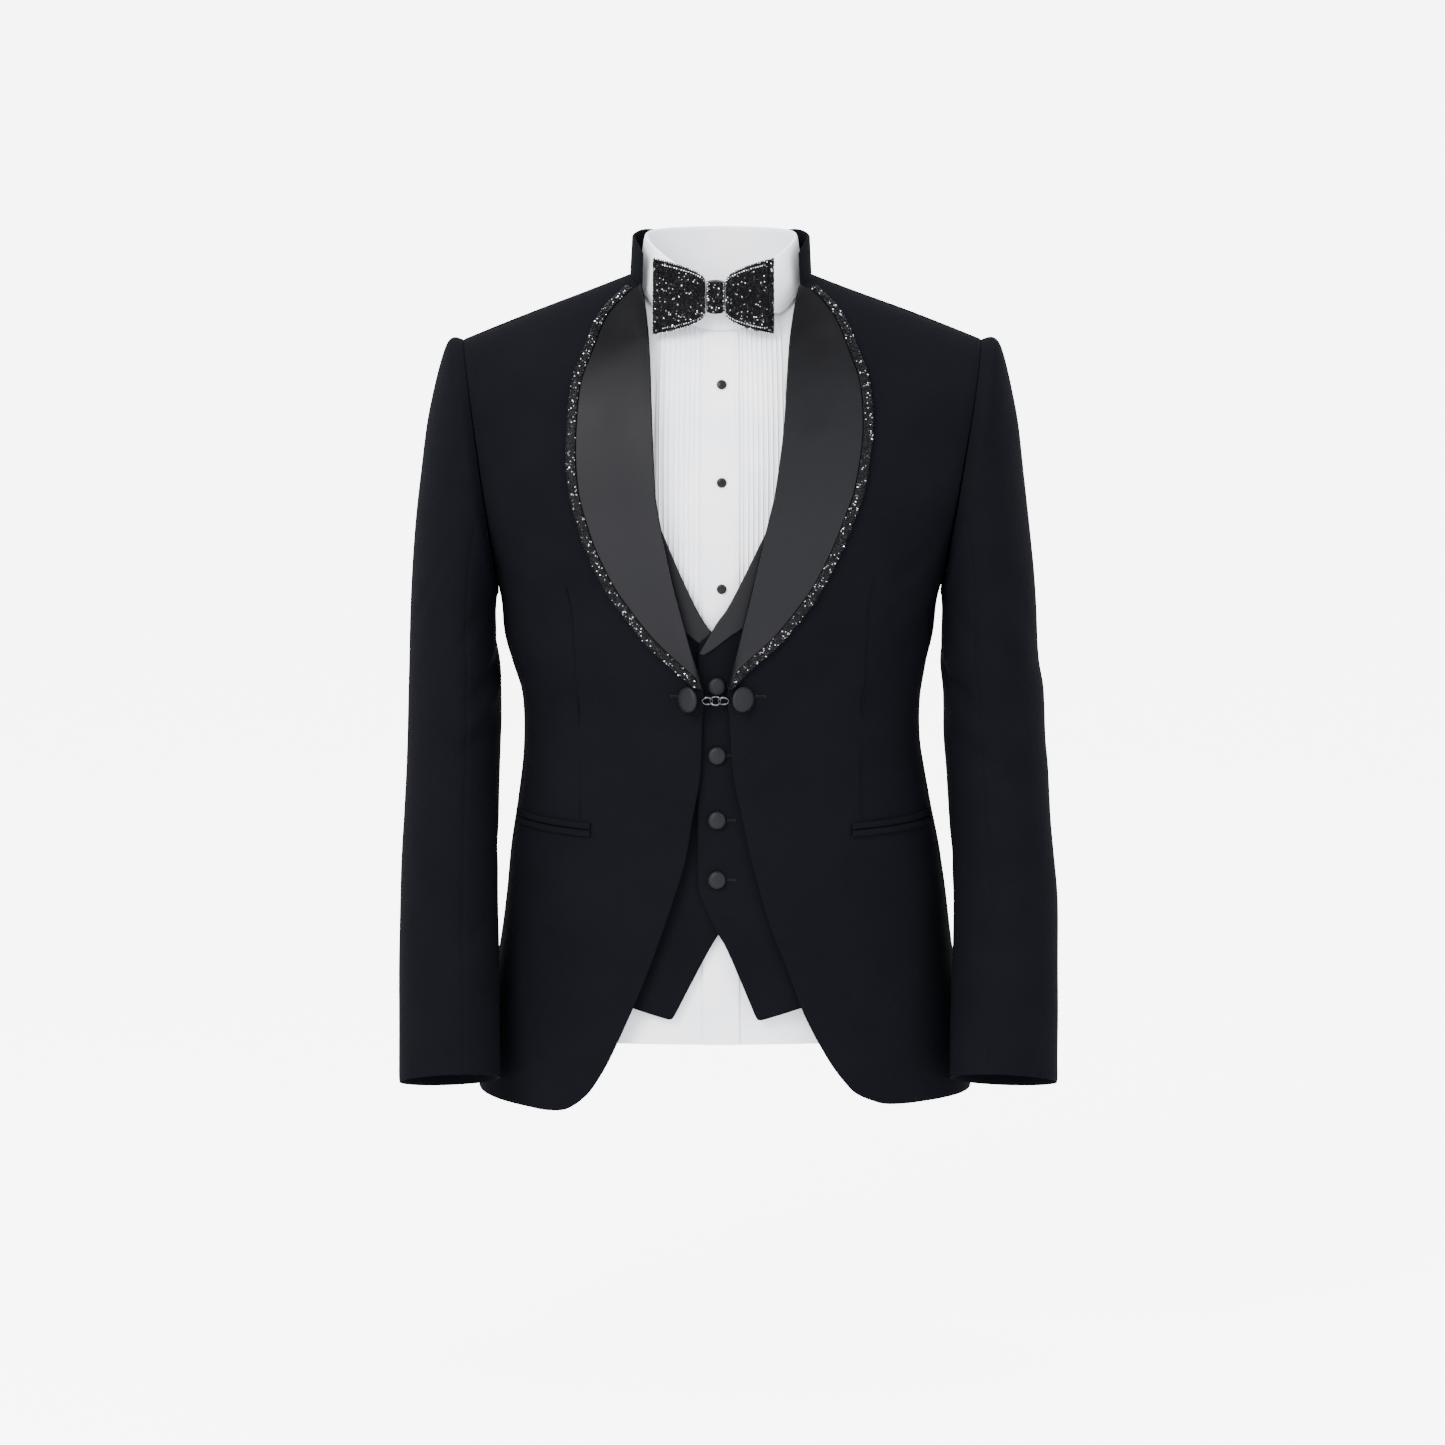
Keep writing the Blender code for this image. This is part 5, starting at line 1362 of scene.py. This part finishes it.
topZ = shirtNeck[0]["z"] - 0.001
strips = np.array([-1, -0.94, -0.85, -0.6, -0.3, 0.004, 0.3, 0.6, 0.85, 0.94, 1])
grid = np.stack([shirtColumn(shirt["placketHalf"] * k, topZ) for k in strips], axis=1)
fold = np.where(np.abs(strips) > 0.8, 0.0003, 0.0)
clothPiece("shirtPlacket", "shirt_placket", grid, shirt["lift"] + shirt["placketLift"], shirt["wall"],
           "cotton", "laid", ["shirt_front_left", "shirt_front_right"],
           lambda points: shirtRelief(points) + fold[None, :])
stitched = []
for k in (-0.78, 0.78):
    stitched.append(liftedLine(shirtColumn(shirt["placketHalf"] * k, topZ), shirt["lift"] + 0.0023))
rowAlong("placketStitches", stitchRow, stitchIds, stitched, 0.0032, 0.00022, cotton, 0.0022)

arm = armLine(180, 360, shirt["armIn"])
half = np.array([arm[-1], *neckLine(stand, shirt["lift"], -0.0004)])
top = np.concatenate([half, mirrored(half[::-1])[1:]])
left = joined(([(1.0, shirt["hemZ"]), (1.0, armFootZ)], 6), (arm, 6))
left[1][-1] = top[0]
right = (left[0], mirrored(left[1]))
bottom = [(1.0, shirt["hemZ"]), (2.0, shirt["hemZ"]), (3.0, shirt["hemZ"])]
grid = patch(bottom, top, left, right, spaced(90, 0.44), spaced(112, 0.64))
yoke = 2 + 3 * 112 // 4
for part, rows in (("Back", grid[:yoke + 1]), ("Yoke", grid[yoke:])):
    clothPiece(f"shirt{part}", f"shirt_{part.lower()}", rows, shirt["lift"], shirt["wall"], "cotton",
               "draped", ["shirt_front_left", "shirt_front_right"],
               lambda points: uneven(points, 0.10, 0.0008, 6.0))
print("shirt made")


# Shirt collar: a stand round the neck and the turned-down leaf over it.
def collarGrid(reach, levels, ring, lowOf, flare):
    turns = np.linspace(-reach, reach, 161)
    grid = np.zeros((len(levels), len(turns), 3))
    for i, turn in enumerate(turns):
        low = lowOf(turn)
        top = float(readColumn(collarRows, "turn", "top", abs(turn)))
        for j, share in enumerate(levels):
            z = low + (top - low) * share
            grid[j, i] = neckBand(turn, z, ring, flare * (1 - share))
    return grid, bandNormals(grid)


def standLow(turn):
    return neckOnForm(turn, stand, shirt["lift"])[1][2] + shirt["wall"] / 2 - 0.0004


def leafLow(turn):
    flared = {key: size + leafShape["flare"] for key, size in leaf.items()}
    seat = neckOnForm(turn, flared, shirt["lift"])[1][2] + shirt["wall"] / 2 + leafShape["seat"]
    return max(float(readColumn(collarRows, "turn", "leaf", abs(turn))), seat)


levels = spaced(14, 0.04)
grid, normals = collarGrid(leafShape["top"], levels * 0.985, stand, standLow, 0.0)
wallPiece("shirtStand", "shirt_collar_stand", grid, normals, leafShape["wall"], "cotton", "draped",
          ["shirt_yoke"])
grid, normals = collarGrid(leafShape["reach"], levels, leaf, leafLow, leafShape["flare"])
rollIn = (np.clip((levels - 0.80) / 0.20, 0, 1) ** 2 * 0.0008)[:, None, None]
grid = grid - normals * rollIn
wallPiece("shirtLeaf", "shirt_collar_leaf", grid, normals, leafShape["wall"], "cotton", "folded",
          ["shirt_collar_stand"])
edge = grid[4, 4:-4] + normals[4, 4:-4] * leafShape["wall"] * 0.55
rowAlong("leafStitches", stitchRow, stitchIds, [edge], 0.0032, 0.00020, cotton, 0.0022)
print("shirt collar made")


# Buttons: satin-covered moulds with a soft rim, the cloth gathered under them.
button = {
    "vestX": -0.0035,
    "vestRadius": 0.0077,
    "vestZ": (-0.335, -0.395, -0.451, -0.503),
    "high": 0.0048,
    "linkRadius": 0.0110,
    "linkZ": -0.3440,
    "linkLeft": (0.0180, 0.60),
    "linkRight": (0.0272, 0.80),
    "holeLeft": 0.0340,
    "holeRight": 0.0383,
    "holeZ": -0.3425,
    "holeWide": {"vest": 0.0068, "link": 0.0085},
    "holeAway": 0.0125,
    "holeLift": 0.0013,
    "ripple": 0.03,       # gathers under the rim, as a share of the radius
    "gathers": 9,
    "steps": 56,
}
buttonProfile = [(0.80, 0.00), (0.93, 0.08), (0.99, 0.24), (1.00, 0.38), (0.97, 0.54), (0.90, 0.70),
                 (0.78, 0.83), (0.62, 0.91), (0.42, 0.965), (0.20, 0.99)]


def turnedPiece(name, profile, radius, high, centre, axis, material, steps, ripple=0.0):
    # a turned shape: its profile gives shares of the radius and height, from the back's rim
    aim = Vector(axis).normalized().to_track_quat("Z", "Y")
    lines = smooth([(0.0, profile[0][1]), *profile, (0.0, profile[-1][1] + 0.004)], 3)
    turns = np.arange(steps) / steps * 2 * math.pi
    points, faces = [], []
    for share, up in lines[1:-1]:
        drawn = 1 + ripple * np.cos(turns * button["gathers"]) * max(0.35 - up, 0)
        for turn, part in zip(turns, drawn):
            reach = radius * share * part
            rim = (reach * math.cos(turn), reach * math.sin(turn), high * up)
            points.append(Vector(centre) + aim @ Vector(rim))
    count = len(lines) - 2
    points.append(Vector(centre) + aim @ Vector((0, 0, high * lines[0][1])))
    points.append(Vector(centre) + aim @ Vector((0, 0, high * lines[-1][1])))
    for i in range(steps):
        n = (i + 1) % steps
        faces.append((len(points) - 2, n, i))
        faces.append((len(points) - 1, (count - 1) * steps + i, (count - 1) * steps + n))
        for j in range(count - 1):
            faces.append((j * steps + i, j * steps + n, (j + 1) * steps + n, (j + 1) * steps + i))
    uvs = np.array([((aim.inverted() @ (p - Vector(centre)))[:2]) for p in points])
    return addMesh(name, points, faces, material, uvs, 50)


def holeStitches(name, x, z, width, lift):
    # a worked buttonhole: two rows of stitches and a bar at each end
    lines = []
    for up in (-0.0006, 0.0006):
        xs = np.linspace(x - width / 2, x + width / 2, 12)
        lines.append(liftedLine(placeOf(xs, np.full(12, z + up)), lift))
    for end in (-1, 1):
        zs = np.linspace(z - 0.0011, z + 0.0011, 5)
        lines.append(liftedLine(placeOf(np.full(5, x + end * width / 2), zs), lift))
    return rowAlong(name, stitchRow, stitchIds, lines, 0.0007, 0.00035, satin, 0.0009)


for k, z in enumerate(button["vestZ"]):
    place = placeOf(button["vestX"], z)
    normal = formNormals(*place)
    rise = waistcoat["lift"]["left"] + waistcoat["wall"] / 2 + 0.0004
    centre = lifted(place[0], place[1], np.asarray(rise))
    thing = turnedPiece(f"waistcoatButton{k + 1}", buttonProfile, button["vestRadius"], button["high"],
                        centre, normal, satin, button["steps"], button["ripple"])
    keep(thing, [f"waistcoat_button_{k + 1}"])
    holeStitches(f"buttonhole{k + 1}", button["vestX"] + button["holeAway"], z, button["holeWide"]["vest"],
                 rise + 0.0001)
for side, name, big in sides:
    x, turn = button[f"link{big}"]
    place = placeOf(side * x, button["linkZ"])
    normal = formNormals(*place)
    axis = (side * math.sin(turn), -math.cos(turn), 0)
    rise = button["linkRadius"] * 0.82 * math.sin(turn)
    centre = lifted(place[0], place[1], np.asarray(0.0014)) + normal * rise
    thing = turnedPiece(f"linkButton{big}", buttonProfile, button["linkRadius"], button["high"],
                        centre, axis, satin, button["steps"], button["ripple"])
    keep(thing, [f"link_button_{name}"])
    holeStitches(f"linkHole{big}", side * button[f"hole{big}"], button["holeZ"], button["holeWide"]["link"],
                 button["holeLift"])

stud = {"radius": 0.0043, "high": 0.0028, "x": 0.0006, "zs": (-0.071, -0.158, -0.252), "steps": 48}
studProfile = [(0.86, 0.00), (0.97, 0.06), (1.00, 0.16), (1.00, 0.34), (0.97, 0.44), (0.93, 0.47),
               (0.90, 0.62), (0.78, 0.84), (0.55, 0.95), (0.26, 0.99)]
for k, z in enumerate(stud["zs"]):
    place = placeOf(stud["x"], z)
    rise = shirt["lift"] + shirt["placketLift"] + shirt["wall"] / 2 + 0.0004
    centre = lifted(place[0], place[1], np.asarray(rise))
    thing = turnedPiece(f"shirtStud{k + 1}", studProfile, stud["radius"], stud["high"], centre,
                        formNormals(*place), enamel, stud["steps"])
    keep(thing, [f"shirt_stud_{k + 1}"])
print("buttons made")

# The link: three wire rings hooked through each other, tilted by turns.
link = {
    "z": -0.3465,
    "wire": 0.0008,
    "tilt": 0.75,
    "fore": 0.0022,
    "endGap": -0.0014,
    "around": 72,
    "about": 12,
}


def ringPiece(name, radius, wire, centre, tilt):
    around, about = link["around"], link["about"]
    points, faces = [], []
    for i in range(around):
        turn = 2 * math.pi * i / around
        for j in range(about):
            roll = 2 * math.pi * j / about
            reach = radius + wire * math.cos(roll)
            x, y, z = reach * math.cos(turn), wire * math.sin(roll), reach * math.sin(turn)
            points.append((centre[0] + x, centre[1] + y * math.cos(tilt) - z * math.sin(tilt),
                           centre[2] + y * math.sin(tilt) + z * math.cos(tilt)))
            a, b = i * about + j, i * about + (j + 1) % about
            faces.append((a, b, (b + about) % (around * about), (a + about) % (around * about)))
    faces = np.array(faces)
    if signedVolume(np.array(points), faces) < 0:
        faces = faces[:, ::-1]
    return addMesh(name, points, faces, gunmetal, np.array(points)[:, [0, 2]], 80)


linkRow = frontEdge[6]
ends = [formPoints(*placeOf(x, link["z"])) for x in (-linkRow["right"], linkRow["left"])]
span = ends[1][0] - ends[0][0] - 2 * link["endGap"]
ringRadius = (span + link["wire"] * 2.8) / 6
middle = (ends[0] + ends[1]) / 2
for name, away, way in (("right", -1, 1), ("middle", 0, -1), ("left", 1, 1)):
    x = middle[0] + away * (span / 2 - ringRadius - link["wire"])
    centre = (x, middle[1] - link["fore"], link["z"])
    thing = ringPiece(f"linkRing{name.capitalize()}", ringRadius, link["wire"], centre, way * link["tilt"])
    keep(thing, [f"link_ring_{name}"])
print("link made")

# Bow tie: two padded wings and the knot, covered with beads, edged with rows of crystals.
bow = {
    "x": -0.0047,
    "z": -0.0013,
    "half": {1: 0.0503, -1: 0.0540},
    "end": 0.0340,
    "waist": 0.0125,
    "spread": 0.44,
    "wall": 0.0080,
    "y": -0.0850,
    "sweep": 0.0120,
    "pleat": (0.0010, 6.5, 1.5),    # depth, waves over the height, how fast they fade outwards
    "rim": 0.35,          # the share of the thickness that is left at the edges
    "thinner": 0.35,      # the share that a wing loses towards its end
    "under": 0.0006,      # the cloth body lies this far inside the beads
    "apart": 0.00108,
    "radius": 0.00070,
    "silver": 0.07,
    "fold": (0.862, 0.880),    # no beads on this strip near each end, so the dark satin shows as a line: painted shade for a fold that the wing's shape does not have
    "chain": 0.0021,
    "chainRadius": 0.00075,
}
knot = {"half": 0.0080, "high": 0.0142, "back": -0.0712, "deep": 0.0200}


def wingPoints(side, s, t, face, out=0.0):
    # a point of a wing: s runs from the knot to the end, t from the lower to the upper edge
    x = bow["x"] + side * (knot["half"] + 0.0004 + (bow["half"][side] - knot["half"]) * s)
    half = bow["waist"] + (bow["end"] - bow["waist"]) * s ** bow["spread"]
    deep, waves, fade = bow["pleat"]
    pleat = deep * np.cos(t * waves) * (1 - s) ** fade
    bulge = bow["rim"] + (1 - bow["rim"]) * np.sqrt(np.maximum(1 - t * t * 0.9, 0))
    thick = bow["wall"] * bulge * (1 - bow["thinner"] * s)
    y = bow["y"] + bow["sweep"] * s * s + face * (thick / 2 + out - pleat * (face < 0))
    return np.stack(np.broadcast_arrays(x, y, bow["z"] + half * t), axis=-1)


def paddedOf(name, front, back, node):
    # a stuffed body between two grids of points
    uvs = ((front + back) / 2).reshape(-1, 3)[:, [0, 2]]
    thing = keep(skinOf(name, front, back, satin, uvs, 60), [node])


chainLines = []
for side, name, big in sides:
    s, t = np.meshgrid(np.linspace(0.012, 0.988, 36), np.linspace(-0.98, 0.98, 40))
    front, back = wingPoints(side, s, t, -1, -bow["under"]), wingPoints(side, s, t, 1, -bow["under"])
    paddedOf(f"bowWing{big}", front, back, f"bow_wing_{name}")
    faces = []
    # the front's beads stop short of the painted fold shade and start again after it
    for face, first, last in ((-1, 0.015, bow["fold"][0]), (-1, bow["fold"][1], 0.985), (1, 0.015, 0.975)):
        s, t = np.meshgrid(np.linspace(first, last, 36), np.linspace(-0.96, 0.96, 40))
        grid = wingPoints(side, s, t, face, -0.0003)
        faces.append(grid[:, ::-1] if face * side < 0 else grid)
    strewBeads(f"bowBeads{big}", faces, bow["apart"], bow["radius"], bow["silver"], 31 + side)
    for t, last in ((-0.965, 0.97), (-0.85, 0.80), (0.85, 0.80), (0.965, 0.97)):
        chainLines.append(wingPoints(side, np.linspace(0.03, last, 60), np.full(60, t), -1, 0.0003))
rowAlong("bowCrystals", crystalRow, crystalIds, chainLines, bow["chain"], bow["chainRadius"],
         silverBead, smoothShade=False)


def knotPoints(s, t, face, out=0.0):
    thick = knot["deep"] * (0.55 + 0.45 * np.sqrt(np.maximum(1 - s * s, 0)))
    y = np.where(face < 0, knot["back"] - thick - out, knot["back"]) + 0 * t
    z = bow["z"] + knot["high"] * t * (1 - 0.10 * s * s)
    return np.stack(np.broadcast_arrays(bow["x"] + knot["half"] * s, y, z), axis=-1)


s, t = np.meshgrid(np.linspace(-0.99, 0.99, 24), np.linspace(-0.98, 0.98, 24))
paddedOf("bowKnot", knotPoints(s, t, -1, -bow["under"]), knotPoints(s, t, 1), "bow_knot")
s, t = np.meshgrid(np.linspace(-0.93, 0.93, 24), np.linspace(-0.95, 0.95, 24))
strewBeads("bowKnotBeads", [knotPoints(s, t, -1, -0.0003)], bow["apart"], bow["radius"], bow["silver"], 41)
t = np.linspace(-0.93, 0.93, 40)
lines = [knotPoints(np.full(40, s), t, -1, 0.0004) for s in (-0.86, 0.86)]
rowAlong("knotCrystals", crystalRow, crystalIds, lines, bow["chain"], bow["chainRadius"],
         silverBead, smoothShade=False)
print("bow made")


# Stage: a wide pale floor under a white surround, soft studio lights, the camera.
# The camera sees the floor glow, as a lit white table does; the glow lights nothing else.
stage = {"floorZ": -0.930, "half": 60.0, "colour": "#F6F6F7", "glow": 5.0, "surround": 2.20}


def makeFloor():
    material, tree, shader = newMaterial("studioFloor", {
        "Base Color": hexColour(stage["colour"]), "Roughness": 0.9, "Specular IOR Level": 0.1,
        "Emission Color": hexColour("#FFFFFF"),
    })
    path = addNode(tree, "ShaderNodeLightPath")
    glow = addNode(tree, "ShaderNodeMath", {"operation": "MULTIPLY", 1: stage["glow"]},
                   {0: path.outputs["Is Camera Ray"]})
    tree.links.new(glow.outputs[0], shader.inputs["Emission Strength"])
    half, z = stage["half"], stage["floorZ"]
    points = [(-half, -half, z), (half, -half, z), (half, half, z), (-half, half, z)]
    addMesh("studioFloor", points, [(0, 1, 2, 3)], material)


def addLight(name, spot, aim, size, power, colour):
    data = bpy.data.lights.new(name, "AREA")
    data.shape = "RECTANGLE"
    data.size, data.size_y = size
    data.energy = power
    data.color = hexColour(colour)[:3]
    lamp = objectOf(name, data)
    lamp.location = spot
    lamp.rotation_euler = (Vector(aim) - Vector(spot)).to_track_quat("-Z", "Y").to_euler()


def makeWorld():
    world = bpy.data.worlds.new("studioWhite")
    world.use_nodes = True
    shader = world.node_tree.nodes["Background"]
    shader.inputs["Color"].default_value = hexColour("#FBFCFF")
    shader.inputs["Strength"].default_value = stage["surround"]
    bpy.context.scene.world = world


makeFloor()
makeWorld()
addLight("keyLight", (-1.9, -3.0, 1.9), (0, 0, -0.30), (1.8, 1.8), 250, "#FFFDF8")
addLight("fillLight", (2.6, -2.4, 0.7), (0, 0, -0.35), (1.6, 2.2), 36, "#F4F8FF")
addLight("topLight", (0.0, 0.4, 2.6), (0, 0, -0.20), (2.4, 2.0), 70, "#FFFFFF")

view = {
    "sensor": 36.0,
    "tilt": 7.0,
    "distance": 9.055,
    "spread": 1.2427,
    "centreX": 0.0013,
    "centreDown": 0.37625,
}
tilt = math.radians(view["tilt"])
away = Vector((0, -math.cos(tilt), math.sin(tilt)))
aim = Vector((view["centreX"], -view["centreDown"] * math.sin(tilt), -view["centreDown"] * math.cos(tilt)))
lens = bpy.data.cameras.new("camera")
lens.sensor_width = view["sensor"]
lens.lens = view["sensor"] * 9.0 / view["spread"]    # the spread is what the frame holds 9 m away
lens.clip_end = 60.0
camera = objectOf("camera", lens)
camera.location = aim + away * view["distance"]
camera.rotation_euler = (-away).to_track_quat("-Z", "Y").to_euler()
bpy.context.scene.camera = camera

print("stage and camera made")
